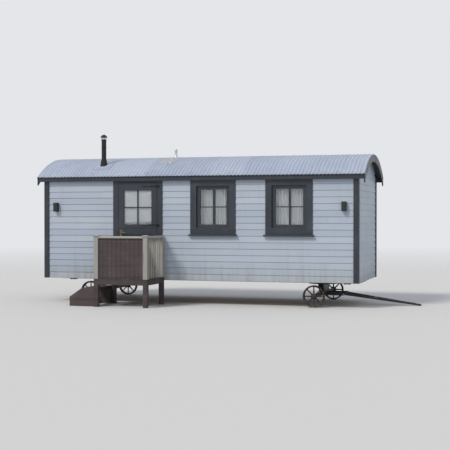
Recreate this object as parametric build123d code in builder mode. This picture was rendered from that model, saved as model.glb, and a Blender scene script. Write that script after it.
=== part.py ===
"""A long shepherd hut on four small cast wheels, parked, with the landing and steps at its door.

Millimetres, +Z up, the ground at z = 0. The door and windows face -Y and the drawbar points to +X.
The origin is on the ground, in the middle of the whole vehicle's box. Places are named from the hut's own
centre, and hut_x and hut_y carry that centre to its place in the box.
"""

import os
from math import asin, atan, cos, degrees, hypot, sin, sqrt

from build123d import *

os.makedirs("parts", exist_ok=True)

# Cabin
body_length = 6700
body_width = 2300
wall = 90
wall_skirt = 50                # how far the walls hang below the chassis' top
floor_boards_thickness = 25
trim = 20                      # how far casings and corner boards stand proud of the wall
corner_board = 110

# Roof
eave_overhang = 80
end_overhang = 150
eave_height = 2600             # the deck's underside at its long edges
roof_rise = 430                # from there up to the crown
deck_thickness = 30
sheet = 3
lap_height = 15                # the raised seam where two sheets overlap
lap_width = 64
sheet_cover = 686              # from one lap to the next, nine waves of such sheet
sheet_drip = 30                # how far the sheets run past the deck's edge
fascia_thickness = 25
fascia_drop = 65               # how far the fascia hangs below the deck's edge
barge_depth = 110

# Chassis
frame_bottom = 450
frame_depth = 100
rail_width = 60
rail_offset = 450
rail_web = 7
rail_flange = 10
cross_width = 50
cross_web = 6
outrigger_web = 8
cross_spread = 200             # from an axle's middle to the cross member on each side of it
outrigger_tip = 45
jack_inset = 330               # from the body's end to the middle of a jacking pad
jack_pad = 140
jack_pad_thickness = 12

# Running gear
wheel_diameter = 440
wheel_width = 70
rim_depth = 26
hub_diameter = 116
hub_length = 120
spoke_count = 8
spoke_width = 34               # at the hub
spoke_tip = 24                 # at the rim
spoke_thickness = 26
wheel_offset = 1030
front_axle_inset = 900
rear_axle_inset = 1000
axle_beam = 60
axle_end_diameter = 45
axle_end_length = 95
fit_gap = 0.05                 # radial play of a pin or an axle's end in its hole
seat_gap = 0.3                 # between faces that slide on each other

# Turntable and drawbar
turntable_diameter = 640
turntable_ring = 80
turntable_plate = 16
kingpin_diameter = 40
bolster_length = 720
bolster_thickness = 110
arm_offset = 250
arm_length = 450
arm_width = 40
arm_depth = 56
drawbar_pin_diameter = 24
drawbar_length = 1500
drawbar_bar = 40
drawbar_boss = 56
drawbar_side_gap = 5
eye_outer = 120
eye_bore = 50
eye_thickness = 30

# Windows: middle of the window from the hut's middle, and the long wall it is in (-1 front, 1 back)
window_places = ((393, -1), (1972, -1), (0, 1))
window_width = 770
window_height = 920
window_drop = 145              # from the eave's height down to a window's head
casing = 95
jamb = 35
stile = 70
glazing_bar = 22
sash_thickness = 44
sash_inset = 20
glass_thickness = 6
sill_depth = 75
sill_height = 35
sill_horn = 30
sill_fall = 10                 # how far its top slopes down to the front

# Stable door
door_x = -1238
door_width = 930
door_drop = 60                 # from the eave's height down to the head of the doorway
door_casing = 80
head_casing = 40
door_jamb = 35
door_stop = 14
threshold = 20
leaf_thickness = 44
leaf_gap = 5
lower_leaf_height = 945
leaf_stile = 120
leaf_rail = 85
leaf_top_rail = 155
panel_recess = 12
hinge_pin_diameter = 12
knuckle_wall = 5
knuckle_height = 40
strap_length = 330
strap_height = 34              # at the knuckle
strap_tip = 20
strap_thickness = 6
pintle_boss = 14
pintle_plate = 45
hinge_inset = 150              # from a leaf's end to the middle of its hinge
handle_drop = 90               # below the lower leaf's top
handle_length = 120
handle_diameter = 18

# Curtains and their rods
curtain_thickness = 30
curtain_gap = 25
curtain_drop = 900
curtain_spread = 60
rod_diameter = 16
rod_stand_off = 55
bracket_width = 20

# Stove and flue
flue_from_left = 1220
flue_inset = 300
flue_diameter = 100
flue_rise = 390                # the pipe's top above the roof deck's crown
collar_diameter = 160
collar_height = 130
cowl_diameter = 150
cowl_height = 60
cowl_rise = 30
cowl_taper = 24
flashing_width = 400
flashing_thickness = 3
stove_width = 420
stove_depth = 320
stove_height = 520
stove_leg = 120
stove_rim = 18                 # how far its plinth and hot plate stand out
stove_plinth = 35
stove_top = 30

# Roof vent
vent_sheets = 2                # how many sheets to the right of the flue's sheet
vent_y = -140
vent_diameter = 60
vent_rise = 190
vent_plate = 300

# Wall lamps
lamp_inset = 270
lamp_drop = 600                # from the eave's height down to a lamp's middle
lamp_width = 90
lamp_length = 190
lamp_depth = 85
lamp_plate = 8
lamp_glass = 6

# Landing and steps
landing_left = 1790
landing_right = 650
landing_depth = 990
landing_drop = 15              # from the hut's floor down to the landing
landing_board = 28
deck_pitch = 120               # about, from one deck board to the next
deck_gap = 5
landing_bearer = 90
newel = 90
newel_cap = 20
newel_cap_height = 24
rail_height = 850
rail_cap = 40
rail_cap_width = 100
panel_thickness = 30
panel_pitch = 96               # about, from one board of the front to the next
panel_gap = 3
ledge_height = 70
ledge_thickness = 22
ledge_inset = 30               # from the front's top and bottom to the ledges behind it
baluster = 32
baluster_count = 6
step_count = 2
step_going = 280
step_width = 820
string_thickness = 40
tread_thickness = 36
tread_gap = 4                  # between a tread's two boards

# Places that follow
half_length = body_length / 2
half_width = body_width / 2
frame_top = frame_bottom + frame_depth
floor_top = frame_top + floor_boards_thickness
wall_bottom = frame_top - wall_skirt
window_bottom = eave_height - window_drop - window_height
lamp_height = eave_height - lamp_drop
landing_top = floor_top - landing_drop
rail_top = landing_top + rail_height
deck_half = half_width + eave_overhang
under_radius = (deck_half ** 2 + roof_rise ** 2) / (2 * roof_rise)
arc_height = eave_height + roof_rise - under_radius
deck_radius = under_radius + deck_thickness
flat_radius = deck_radius + sheet
lap_radius = flat_radius + lap_height
roof_half_length = half_length + end_overhang
flue_top = eave_height + roof_rise + deck_thickness + flue_rise
axle_height = wheel_diameter / 2
front_axle_x = half_length - front_axle_inset
rear_axle_x = rear_axle_inset - half_length
drawbar_pin_x = front_axle_x + arm_length
eye_reach = drawbar_length + eye_outer / 2
drawbar_slope = (asin(axle_height / hypot(eye_reach, eye_thickness / 2))
                 - atan(eye_thickness / 2 / eye_reach))
landing_front = half_width + landing_depth
leaf_face = half_width + trim
door_top = eave_height - door_drop
flue_x = flue_from_left - half_length
flue_y = flue_inset - half_width
vent_x = flue_x + vent_sheets * sheet_cover

# The whole vehicle's box, which sets where the hut's middle lies
left_reach = roof_half_length
right_reach = drawbar_pin_x + eye_reach * cos(drawbar_slope) + eye_thickness / 2 * sin(drawbar_slope)
front_reach = landing_front + newel_cap
back_reach = deck_half + sheet_drip
hut_x = (left_reach - right_reach) / 2
hut_y = (front_reach - back_reach) / 2


def plan(z):
    """Seen from above, at height z: x to the drawbar, y to the back."""
    return Plane(origin=(hut_x, hut_y, z))


def across(x):
    """The hut's cross-section at x: x to the back, y up, drawn towards the drawbar."""
    return Plane(origin=(hut_x + x, hut_y, 0), x_dir=(0, 1, 0), z_dir=(1, 0, 0))


def on_wall(side, x, inset):
    """Upright, inset inwards from a long wall's outer face: y up, drawn outwards."""
    return Plane(origin=(hut_x + x, hut_y + side * (half_width - inset), 0),
                 x_dir=(-side, 0, 0), z_dir=(0, side, 0))


def below_roof(radius):
    """Keeps what lies under the roof's arc, in a cross-section sketch."""
    with Locations((0, arc_height)):
        Circle(radius, mode=Mode.INTERSECT)


def lengthwise(y):
    """The hut's long section at y: x to the left, y up, drawn to the back."""
    return Plane(origin=(hut_x, hut_y + y, 0), x_dir=(-1, 0, 0), z_dir=(0, 1, 0))


def span(low, high):
    """The middle and the size of a stretch."""
    return (low + high) / 2, high - low


def rectangle(x, y, mode=Mode.ADD):
    """A sketch rectangle between two x and two y places."""
    (x_mid, x_size), (y_mid, y_size) = span(*x), span(*y)
    with Locations((x_mid, y_mid)):
        Rectangle(x_size, y_size, mode=mode)


# Chassis: two channels with their webs inwards, cross channels between them, and coped outriggers
rail_ends = (-half_length + wall, half_length - wall)
rail_inside = rail_offset - rail_width / 2
rail_outside = rail_offset + rail_width / 2
web_face = rail_inside + rail_web
between_flanges = (frame_bottom + rail_flange, frame_top - rail_flange)
inside_half = half_width - wall
with BuildPart() as chassis_rails:
    with BuildSketch(across(rail_ends[0])):
        rectangle((rail_inside, rail_outside), (frame_bottom, frame_top))
        rectangle((web_face, rail_outside), between_flanges, mode=Mode.SUBTRACT)
        mirror(about=Plane.YZ)
    extrude(amount=rail_ends[1] - rail_ends[0])
chassis_rails.part.label = "chassis_rails"
export_step(chassis_rails.part, "parts/chassis_rails.step")

near_rear = (rear_axle_x - cross_spread, rear_axle_x + cross_spread)
near_front = (front_axle_x - cross_spread, front_axle_x + cross_spread)
middle_bay = (near_front[0] - near_rear[1]) / 3
cross_places = (rail_ends[0] + cross_width / 2, near_rear[0], near_rear[1],
                near_rear[1] + middle_bay, near_front[0] - middle_bay,
                near_front[0], near_front[1], rail_ends[1] - cross_width / 2)
with BuildPart() as cross_members:
    with BuildSketch(lengthwise(-rail_inside)):
        for x in cross_places:
            open_side, web_side = cross_width / 2 - x, -cross_width / 2 - x
            rectangle((web_side, open_side), (frame_bottom, frame_top))
            rectangle((web_side + cross_web, open_side), between_flanges, mode=Mode.SUBTRACT)
    extrude(amount=2 * rail_inside)
cross_members.part.label = "cross_members"
export_step(cross_members.part, "parts/cross_members.step")

with BuildPart() as outriggers:
    for x in cross_places:
        with BuildSketch(across(x - outrigger_web / 2)):
            with BuildLine():
                Polyline((web_face, between_flanges[0]), (rail_outside, between_flanges[0]),
                         (rail_outside, frame_bottom), (inside_half, frame_top - outrigger_tip),
                         (inside_half, frame_top), (rail_outside, frame_top),
                         (rail_outside, between_flanges[1]), (web_face, between_flanges[1]), close=True)
            make_face()
            mirror(about=Plane.YZ)
        extrude(amount=outrigger_web)
        with BuildSketch(across(x - cross_width / 2)):
            rectangle((rail_outside, inside_half), (between_flanges[1], frame_top))
            mirror(about=Plane.YZ)
        extrude(amount=cross_width)
outriggers.part.label = "outriggers"
export_step(outriggers.part, "parts/outriggers.step")

with BuildPart() as jack_pads:
    with BuildSketch(plan(frame_bottom - jack_pad_thickness)):
        with GridLocations(body_length - 2 * jack_inset, 2 * rail_offset, 2, 2):
            Rectangle(jack_pad, jack_pad)
    extrude(amount=jack_pad_thickness)
jack_pads.part.label = "jack_pads"
export_step(jack_pads.part, "parts/jack_pads.step")

with BuildPart() as floor_boards:
    with BuildSketch(plan(frame_top)):
        Rectangle(body_length - 2 * wall, body_width - 2 * wall)
    extrude(amount=floor_boards_thickness)
floor_boards.part.label = "floor_boards"
export_step(floor_boards.part, "parts/floor_boards.step")


def long_wall(side, ends):
    """A panel of a long wall between two x places, its top shaped to the roof deck."""
    outer, inner = side * half_width, side * (half_width - wall)
    with BuildSketch(across(ends[0])) as profile:
        rectangle(sorted((outer, inner)), (wall_bottom, eave_height + roof_rise))
        below_roof(under_radius)
    extrude(profile.sketch, amount=ends[1] - ends[0])


def window_holes(side):
    """Cuts the holes of the windows in one long wall."""
    for x, window_side in window_places:
        if window_side == side:
            with BuildSketch(on_wall(side, x, wall)) as profile:
                with Locations((0, window_bottom + window_height / 2)):
                    Rectangle(window_width, window_height)
            extrude(profile.sketch, amount=wall, mode=Mode.SUBTRACT)


# Walls: the front one is a panel on each side of the doorway, and one above and below it
door_sides = (door_x - door_width / 2, door_x + door_width / 2)
with BuildPart() as wall_front_left:
    long_wall(-1, (-half_length, door_sides[0]))
wall_front_left.part.label = "wall_front_left"
export_step(wall_front_left.part, "parts/wall_front_left.step")

with BuildPart() as wall_at_door:
    long_wall(-1, door_sides)
    with BuildSketch(on_wall(-1, door_x, wall)):
        rectangle((-door_width / 2, door_width / 2), (floor_top, door_top))
    extrude(amount=wall, mode=Mode.SUBTRACT)
wall_at_door.part.label = "wall_at_door"
export_step(wall_at_door.part, "parts/wall_at_door.step")

with BuildPart() as wall_front_right:
    long_wall(-1, (door_sides[1], half_length))
    window_holes(-1)
wall_front_right.part.label = "wall_front_right"
export_step(wall_front_right.part, "parts/wall_front_right.step")

with BuildPart() as wall_back:
    long_wall(1, (-half_length, half_length))
    window_holes(1)
wall_back.part.label = "wall_back"
export_step(wall_back.part, "parts/wall_back.step")

with BuildPart() as end_walls:
    for x in (-half_length, half_length - wall):
        with BuildSketch(across(x)):
            rectangle((-inside_half, inside_half), (wall_bottom, eave_height + roof_rise))
            below_roof(under_radius)
        extrude(amount=wall)
end_walls.part.label = "end_walls"
export_step(end_walls.part, "parts/end_walls.step")

corner_top = arc_height + sqrt(under_radius ** 2 - (half_width + trim) ** 2) - seat_gap
with BuildPart() as corner_boards:
    with BuildSketch(plan(wall_bottom)):
        with GridLocations(body_length + 2 * trim - corner_board, body_width + 2 * trim - corner_board, 2, 2):
            Rectangle(corner_board, corner_board)
        Rectangle(body_length, body_width, mode=Mode.SUBTRACT)
    extrude(amount=corner_top - wall_bottom)
corner_boards.part.label = "corner_boards"
export_step(corner_boards.part, "parts/corner_boards.step")


# Roof: a bent deck, lapped sheets over it, and boards along its edges
def arch(inner, outer, half_span):
    """A band between two arcs of the roof, cut off upright at half_span."""
    with Locations((0, arc_height)):
        Circle(outer)
        Circle(inner, mode=Mode.SUBTRACT)
    rectangle((-half_span, half_span), (arc_height, arc_height + outer), mode=Mode.INTERSECT)


with BuildPart() as roof_deck:
    with BuildSketch(across(-roof_half_length)):
        arch(under_radius, deck_radius, deck_half)
    extrude(amount=2 * roof_half_length)
    with BuildSketch(plan(eave_height)):
        with Locations((flue_x, flue_y)):
            Circle(flue_diameter / 2 + seat_gap)
    extrude(amount=roof_rise + deck_thickness, mode=Mode.SUBTRACT)
roof_deck.part.label = "roof_deck"
export_step(roof_deck.part, "parts/roof_deck.step")

sheet_angle = asin((deck_half + sheet_drip) / lap_radius)
sheet_start = Plane(origin=(hut_x, hut_y, arc_height), x_dir=(1, 0, 0),
                    z_dir=(0, -cos(sheet_angle), -sin(sheet_angle)))
lap_reach = int(2 * roof_half_length / sheet_cover) + 1
lap_places = [flue_x + sheet_cover * (count + 0.5) for count in range(-lap_reach, lap_reach)]
laps_on_roof = [x for x in lap_places if abs(x) < roof_half_length - lap_width]
with BuildPart() as roof_sheets:
    with BuildSketch(sheet_start):
        rectangle((-roof_half_length, roof_half_length), (deck_radius, flat_radius))
        with BuildLine():
            Polyline((-lap_width / 2, flat_radius), (lap_width / 2, flat_radius), (0, lap_radius), close=True)
        lap_profile = make_face(mode=Mode.PRIVATE)
        with Locations(*[(x, 0) for x in laps_on_roof]):
            add(lap_profile)
    revolve(axis=Axis((hut_x, hut_y, arc_height), (-1, 0, 0)), revolution_arc=2 * degrees(sheet_angle))
    with BuildSketch(plan(eave_height)):
        with Locations((flue_x, flue_y)):
            Circle(flue_diameter / 2 + seat_gap)
    extrude(amount=lap_radius, mode=Mode.SUBTRACT)
roof_sheets.part.label = "roof_sheets"
export_step(roof_sheets.part, "parts/roof_sheets.step")

barge_inside = roof_half_length - fascia_thickness
with BuildPart() as fascia_boards:
    with BuildSketch(across(-barge_inside)):
        for side in (-1, 1):
            edges = sorted((side * deck_half, side * (deck_half - fascia_thickness)))
            rectangle(edges, (eave_height - fascia_drop, eave_height + roof_rise))
        below_roof(under_radius)
    extrude(amount=2 * barge_inside)
fascia_boards.part.label = "fascia_boards"
export_step(fascia_boards.part, "parts/fascia_boards.step")

with BuildPart() as bargeboards:
    for x in (-roof_half_length, barge_inside):
        with BuildSketch(across(x)):
            arch(under_radius - barge_depth, under_radius, deck_half)
        extrude(amount=fascia_thickness)
bargeboards.part.label = "bargeboards"
export_step(bargeboards.part, "parts/bargeboards.step")

# Windows: a frame with its casing, a sash with four panes, a sill, and curtains on a rod inside
clear_width = window_width - 2 * jamb
clear_height = window_height - 2 * jamb
window_middle = window_bottom + window_height / 2
pane_width = (clear_width - 2 * stile - glazing_bar) / 2
pane_height = (clear_height - 2 * stile - glazing_bar) / 2
with BuildPart() as window_frames:
    for x, side in window_places:
        with BuildSketch(on_wall(side, x, wall)):
            with Locations((0, window_middle)):
                Rectangle(window_width, window_height)
                Rectangle(clear_width, clear_height, mode=Mode.SUBTRACT)
        extrude(amount=wall)
        with BuildSketch(on_wall(side, x, 0)):
            with Locations((0, window_middle)):
                Rectangle(window_width + 2 * casing, window_height + 2 * casing)
                Rectangle(clear_width, clear_height, mode=Mode.SUBTRACT)
        extrude(amount=trim)
window_frames.part.label = "window_frames"
export_step(window_frames.part, "parts/window_frames.step")

with BuildPart() as window_sashes:
    for x, side in window_places:
        with BuildSketch(on_wall(side, x, sash_inset + sash_thickness)):
            with Locations((0, window_middle)):
                Rectangle(clear_width, clear_height)
                with GridLocations(pane_width + glazing_bar, pane_height + glazing_bar, 2, 2):
                    Rectangle(pane_width, pane_height, mode=Mode.SUBTRACT)
        extrude(amount=sash_thickness)
window_sashes.part.label = "window_sashes"
export_step(window_sashes.part, "parts/window_sashes.step")

with BuildPart() as window_glass:
    for x, side in window_places:
        with BuildSketch(on_wall(side, x, sash_inset + (sash_thickness + glass_thickness) / 2)):
            with Locations((0, window_middle)):
                with GridLocations(pane_width + glazing_bar, pane_height + glazing_bar, 2, 2):
                    Rectangle(pane_width, pane_height)
        extrude(amount=glass_thickness)
window_glass.part.label = "window_glass"
export_step(window_glass.part, "parts/window_glass.step")

casing_bottom = window_bottom - casing
half_sill = window_width / 2 + casing + sill_horn
sill_front = half_width + sill_depth
with BuildPart() as window_sills:
    for x, side in window_places:
        with BuildSketch(across(x - half_sill)):
            with BuildLine():
                Polyline((side * half_width, casing_bottom - sill_height),
                         (side * sill_front, casing_bottom - sill_height),
                         (side * sill_front, casing_bottom - sill_fall),
                         (side * (half_width + trim), casing_bottom), (side * half_width, casing_bottom), close=True)
            make_face()
        extrude(amount=2 * half_sill)
window_sills.part.label = "window_sills"
export_step(window_sills.part, "parts/window_sills.step")

curtain_top = window_bottom + window_height + curtain_gap
rod_depth = wall + rod_stand_off
half_curtains = window_width / 2 + curtain_spread
rod_z = curtain_top + rod_diameter / 2
with BuildPart() as curtain_rods:
    for x, side in window_places:
        with BuildSketch(across(x - half_curtains)):
            with Locations((side * (half_width - rod_depth), rod_z)):
                Circle(rod_diameter / 2)
        extrude(amount=2 * half_curtains)
curtain_rods.part.label = "curtain_rods"
export_step(curtain_rods.part, "parts/curtain_rods.step")

with BuildPart() as rod_brackets:
    for x, side in window_places:
        with BuildSketch(on_wall(side, x, rod_depth + rod_diameter / 2)):
            for hand in (-1, 1):
                edges = sorted((hand * half_curtains, hand * (half_curtains + bracket_width)))
                rectangle(edges, (rod_z - bracket_width / 2, rod_z + bracket_width / 2))
        extrude(amount=rod_stand_off + rod_diameter / 2)
rod_brackets.part.label = "rod_brackets"
export_step(rod_brackets.part, "parts/rod_brackets.step")

with BuildPart() as curtains:
    for x, side in window_places:
        with BuildSketch(on_wall(side, x, rod_depth + curtain_thickness / 2)):
            for hand in (-1, 1):
                edges = sorted((hand * curtain_gap / 2, hand * half_curtains))
                rectangle(edges, (curtain_top - curtain_drop, curtain_top - seat_gap))
        extrude(amount=curtain_thickness)
curtains.part.label = "curtains"
export_step(curtains.part, "parts/curtains.step")

# Stable door: frame, pintles, and two leaves that swing out on straps
door_clear = door_width - 2 * door_jamb
leaf_width = door_clear - 2 * leaf_gap
leaf_bottom = floor_top + threshold + leaf_gap
leaf_top = door_top - door_jamb - leaf_gap
leaf_split = leaf_bottom + lower_leaf_height
door_pane_top = leaf_top - leaf_top_rail
leaf_back = leaf_face - leaf_thickness
half_clear = door_clear / 2
clear_top = door_top - door_jamb
half_casing = door_width / 2 + door_casing
stop_depth = leaf_back - leaf_gap - (half_width - wall)
with BuildPart() as door_jambs:
    for hand in (-1, 1):
        with BuildSketch(plan(floor_top)):
            with Locations((door_x, 0)):
                rectangle(sorted((hand * half_clear, hand * door_width / 2)), (-half_width, wall - half_width))
                rectangle(sorted((hand * half_clear, hand * half_casing)), (-leaf_face, -half_width))
                rectangle(sorted((hand * (half_clear - door_stop), hand * half_clear)),
                          (wall - half_width - stop_depth, wall - half_width))
        extrude(amount=clear_top - floor_top)
door_jambs.part.label = "door_jambs"
export_step(door_jambs.part, "parts/door_jambs.step")

with BuildPart() as door_head:
    with BuildSketch(on_wall(-1, door_x, wall)):
        rectangle((-door_width / 2, door_width / 2), (clear_top, door_top))
    extrude(amount=wall)
    with BuildSketch(on_wall(-1, door_x, 0)):
        rectangle((-half_casing, half_casing), (clear_top, door_top + head_casing))
    extrude(amount=trim)
    with BuildSketch(on_wall(-1, door_x, wall)):
        rectangle((door_stop - half_clear, half_clear - door_stop), (clear_top - door_stop, clear_top))
    extrude(amount=stop_depth)
door_head.part.label = "door_head"
export_step(door_head.part, "parts/door_head.step")

with BuildPart() as threshold_board:
    with BuildSketch(on_wall(-1, door_x, wall)):
        rectangle((door_stop - half_clear, half_clear - door_stop), (floor_top, floor_top + threshold))
    extrude(amount=stop_depth)
    with BuildSketch(on_wall(-1, door_x, wall - stop_depth)):
        rectangle((-half_clear, half_clear), (floor_top, floor_top + threshold))
    extrude(amount=wall + trim - stop_depth)
threshold_board.part.label = "threshold_board"
export_step(threshold_board.part, "parts/threshold_board.step")

# Leaves: name, bottom, top
door_pane_width = (leaf_width - 2 * leaf_stile - glazing_bar) / 2
upper_bottom = leaf_split + leaf_gap
door_pane_bottom = upper_bottom + leaf_rail
door_pane_height = (door_pane_top - door_pane_bottom - glazing_bar) / 2
door_pane_middle = (door_pane_top + door_pane_bottom) / 2
with BuildPart() as lower_leaf:
    with BuildSketch(on_wall(-1, door_x, leaf_thickness - trim)):
        rectangle((-leaf_width / 2, leaf_width / 2), (leaf_bottom, leaf_split))
    extrude(amount=leaf_thickness)
    with BuildSketch(on_wall(-1, door_x, panel_recess - trim)):
        rectangle((leaf_stile - leaf_width / 2, leaf_width / 2 - leaf_stile),
                  (leaf_bottom + leaf_stile, leaf_split - leaf_stile))
    extrude(amount=panel_recess, mode=Mode.SUBTRACT)
lower_leaf.part.label = "lower_leaf"
export_step(lower_leaf.part, "parts/lower_leaf.step")

with BuildPart() as upper_leaf:
    with BuildSketch(on_wall(-1, door_x, leaf_thickness - trim)):
        rectangle((-leaf_width / 2, leaf_width / 2), (upper_bottom, leaf_top))
        with Locations((0, door_pane_middle)):
            with GridLocations(door_pane_width + glazing_bar, door_pane_height + glazing_bar, 2, 2):
                Rectangle(door_pane_width, door_pane_height, mode=Mode.SUBTRACT)
    extrude(amount=leaf_thickness)
upper_leaf.part.label = "upper_leaf"
export_step(upper_leaf.part, "parts/upper_leaf.step")

with BuildPart() as door_glass:
    with BuildSketch(on_wall(-1, door_x, (leaf_thickness + glass_thickness) / 2 - trim)):
        with Locations((0, door_pane_middle)):
            with GridLocations(door_pane_width + glazing_bar, door_pane_height + glazing_bar, 2, 2):
                Rectangle(door_pane_width, door_pane_height)
    extrude(amount=glass_thickness)
door_glass.part.label = "door_glass"
export_step(door_glass.part, "parts/door_glass.step")

# Hinges: the pins' line runs in front of the gap at the leaves' right edge
hinge_x = door_x + leaf_width / 2 + leaf_gap / 2
knuckle_radius = hinge_pin_diameter / 2 + fit_gap + knuckle_wall
hinge_out = leaf_face + knuckle_radius + 1
leaf_hinges = {"lower": (leaf_bottom + hinge_inset, leaf_split - hinge_inset),
               "upper": (upper_bottom + hinge_inset / 2, leaf_top - hinge_inset / 2)}


def hinge_plan(z):
    """Seen from above, with its origin on the hinge pins' line."""
    return Plane(origin=(hut_x + hinge_x, hut_y - hinge_out, z))


def straps(heights):
    """Strap hinges on a leaf, each with its knuckle round a pin."""
    strap_back = hinge_out - leaf_face
    for z in heights:
        with BuildSketch(hinge_plan(z - knuckle_height / 2)) as profile:
            Circle(knuckle_radius)
            rectangle((-leaf_gap - strap_thickness, -leaf_gap / 2), (0, strap_back))
            Circle(hinge_pin_diameter / 2 + fit_gap, mode=Mode.SUBTRACT)
        extrude(profile.sketch, amount=knuckle_height)
        with BuildSketch(Plane(origin=(hut_x + hinge_x, hut_y - leaf_face, z), x_dir=(1, 0, 0),
                               z_dir=(0, -1, 0))) as profile:
            with BuildLine():
                Polyline((-leaf_gap, strap_height / 2), (-strap_length, strap_tip / 2),
                         (-strap_length, -strap_tip / 2), (-leaf_gap, -strap_height / 2), close=True)
            make_face()
        extrude(profile.sketch, amount=strap_thickness)


with BuildPart() as lower_straps:
    straps(leaf_hinges["lower"])
lower_straps.part.label = "lower_straps"
export_step(lower_straps.part, "parts/lower_straps.step")

with BuildPart() as upper_straps:
    straps(leaf_hinges["upper"])
upper_straps.part.label = "upper_straps"
export_step(upper_straps.part, "parts/upper_straps.step")

with BuildPart() as door_pintles:
    plate_near = knuckle_radius + 3
    casing_back = hinge_out - leaf_face
    for z in leaf_hinges["lower"] + leaf_hinges["upper"]:
        boss_bottom = z - knuckle_height / 2 - seat_gap - pintle_boss
        with BuildSketch(hinge_plan(boss_bottom)):
            Circle(knuckle_radius)
            rectangle((0, plate_near + pintle_plate), (casing_back - strap_thickness, casing_back))
        extrude(amount=pintle_boss)
        with BuildSketch(hinge_plan(boss_bottom)):
            Circle(hinge_pin_diameter / 2)
        extrude(amount=pintle_boss + seat_gap + knuckle_height)
        with BuildSketch(hinge_plan(boss_bottom)):
            rectangle((plate_near, plate_near + pintle_plate), (casing_back - strap_thickness, casing_back))
        extrude(amount=pintle_boss + knuckle_height)
door_pintles.part.label = "door_pintles"
export_step(door_pintles.part, "parts/door_pintles.step")

with BuildPart() as door_handle:
    handle_x = door_x - leaf_width / 2 + leaf_stile / 2
    handle_height = leaf_split - handle_drop
    with BuildSketch(on_wall(-1, handle_x, -trim)):
        with Locations((0, handle_height)):
            RectangleRounded(2.4 * handle_diameter, 8 * handle_diameter, handle_diameter)
    extrude(amount=handle_diameter / 3)
    with BuildSketch(on_wall(-1, handle_x, -trim)):
        with Locations((0, handle_height)):
            Circle(handle_diameter / 2)
    extrude(amount=3 * handle_diameter)
    with BuildSketch(on_wall(-1, handle_x, -trim - 2 * handle_diameter)):
        with Locations((handle_length / 2 - handle_diameter / 2, handle_height)):
            SlotOverall(handle_length, handle_diameter)
    extrude(amount=handle_diameter)
door_handle.part.label = "door_handle"
export_step(door_handle.part, "parts/door_handle.step")

# Stove, flue, flashing and cowl
flue_bottom = floor_top + stove_leg + stove_height
with BuildPart() as stove:
    plinth_bottom = floor_top + stove_leg
    for bottom, height in ((plinth_bottom, stove_plinth), (flue_bottom - stove_top, stove_top)):
        with BuildSketch(plan(bottom)):
            with Locations((flue_x, flue_y)):
                Rectangle(stove_width, stove_depth)
        extrude(amount=height)
    with BuildSketch(plan(plinth_bottom + stove_plinth)):
        with Locations((flue_x, flue_y)):
            Rectangle(stove_width - 2 * stove_rim, stove_depth - 2 * stove_rim)
    extrude(amount=stove_height - stove_plinth - stove_top)
    with BuildSketch(plan(floor_top)):
        with Locations((flue_x, flue_y)):
            with GridLocations(stove_width - stove_leg / 2, stove_depth - stove_leg / 2, 2, 2):
                Rectangle(stove_leg / 3, stove_leg / 3)
    extrude(amount=stove_leg)
stove.part.label = "stove"
export_step(stove.part, "parts/stove.step")

with BuildPart() as flue_pipe:
    with BuildSketch(plan(flue_bottom)):
        with Locations((flue_x, flue_y)):
            Circle(flue_diameter / 2)
    extrude(amount=flue_top + cowl_rise - flue_bottom)
    with BuildSketch(plan(flue_top + cowl_rise)):
        with Locations((flue_x, flue_y)):
            Circle(cowl_diameter / 2)
    extrude(amount=cowl_height, taper=cowl_taper)
flue_pipe.part.label = "flue_pipe"
export_step(flue_pipe.part, "parts/flue_pipe.step")


def roof_collar(x, y, plate, tube, top, bore):
    """A plate bent to the sheet between two laps, with an upright collar round a pipe."""
    tilt = degrees(asin(y / flat_radius))
    with BuildSketch(across(x - plate / 2)) as profile:
        with Locations((0, arc_height)):
            Circle(flat_radius + seat_gap + flashing_thickness)
            Circle(flat_radius + seat_gap, mode=Mode.SUBTRACT)
        with Locations(Location((0, arc_height), -tilt)):
            with Locations((0, flat_radius)):
                Rectangle(2 * flat_radius * sin(plate / 2 / flat_radius), flat_radius / 4, mode=Mode.INTERSECT)
    extrude(profile.sketch, amount=plate)
    with BuildSketch(plan(eave_height)) as profile:
        with Locations((x, y)):
            Circle(tube / 2)
    extrude(profile.sketch, amount=top - eave_height)
    with BuildSketch(across(x - plate / 2)) as profile:
        with Locations((0, arc_height)):
            Circle(flat_radius + seat_gap)
    extrude(profile.sketch, amount=plate, mode=Mode.SUBTRACT)
    with BuildSketch(plan(eave_height)) as profile:
        with Locations((x, y)):
            Circle(bore / 2 + seat_gap)
    extrude(profile.sketch, amount=top - eave_height, mode=Mode.SUBTRACT)


flue_roof = arc_height + sqrt(flat_radius ** 2 - flue_y ** 2)
with BuildPart() as flue_flashing:
    roof_collar(flue_x, flue_y, flashing_width, collar_diameter, flue_roof + collar_height, flue_diameter)
flue_flashing.part.label = "flue_flashing"
export_step(flue_flashing.part, "parts/flue_flashing.step")

vent_roof = arc_height + sqrt(flat_radius ** 2 - vent_y ** 2)
with BuildPart() as roof_vent:
    roof_collar(vent_x, vent_y, vent_plate, vent_diameter, vent_roof + vent_rise, vent_diameter * 0.8)
roof_vent.part.label = "roof_vent"
export_step(roof_vent.part, "parts/roof_vent.step")

# Wall lamps: a box with open light at the top and bottom, on a plate
lamp_places = (lamp_inset - half_length, half_length - lamp_inset)
with BuildPart() as wall_lamps:
    for x in lamp_places:
        with BuildSketch(on_wall(-1, x, 0)):
            with Locations((0, lamp_height)):
                Rectangle(lamp_width, lamp_length)
        extrude(amount=lamp_plate)
        with BuildSketch(on_wall(-1, x, -lamp_plate)):
            with Locations((0, lamp_height)):
                Rectangle(lamp_width, lamp_length - 2 * lamp_glass)
        extrude(amount=lamp_depth)
wall_lamps.part.label = "wall_lamps"
export_step(wall_lamps.part, "parts/wall_lamps.step")

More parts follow.
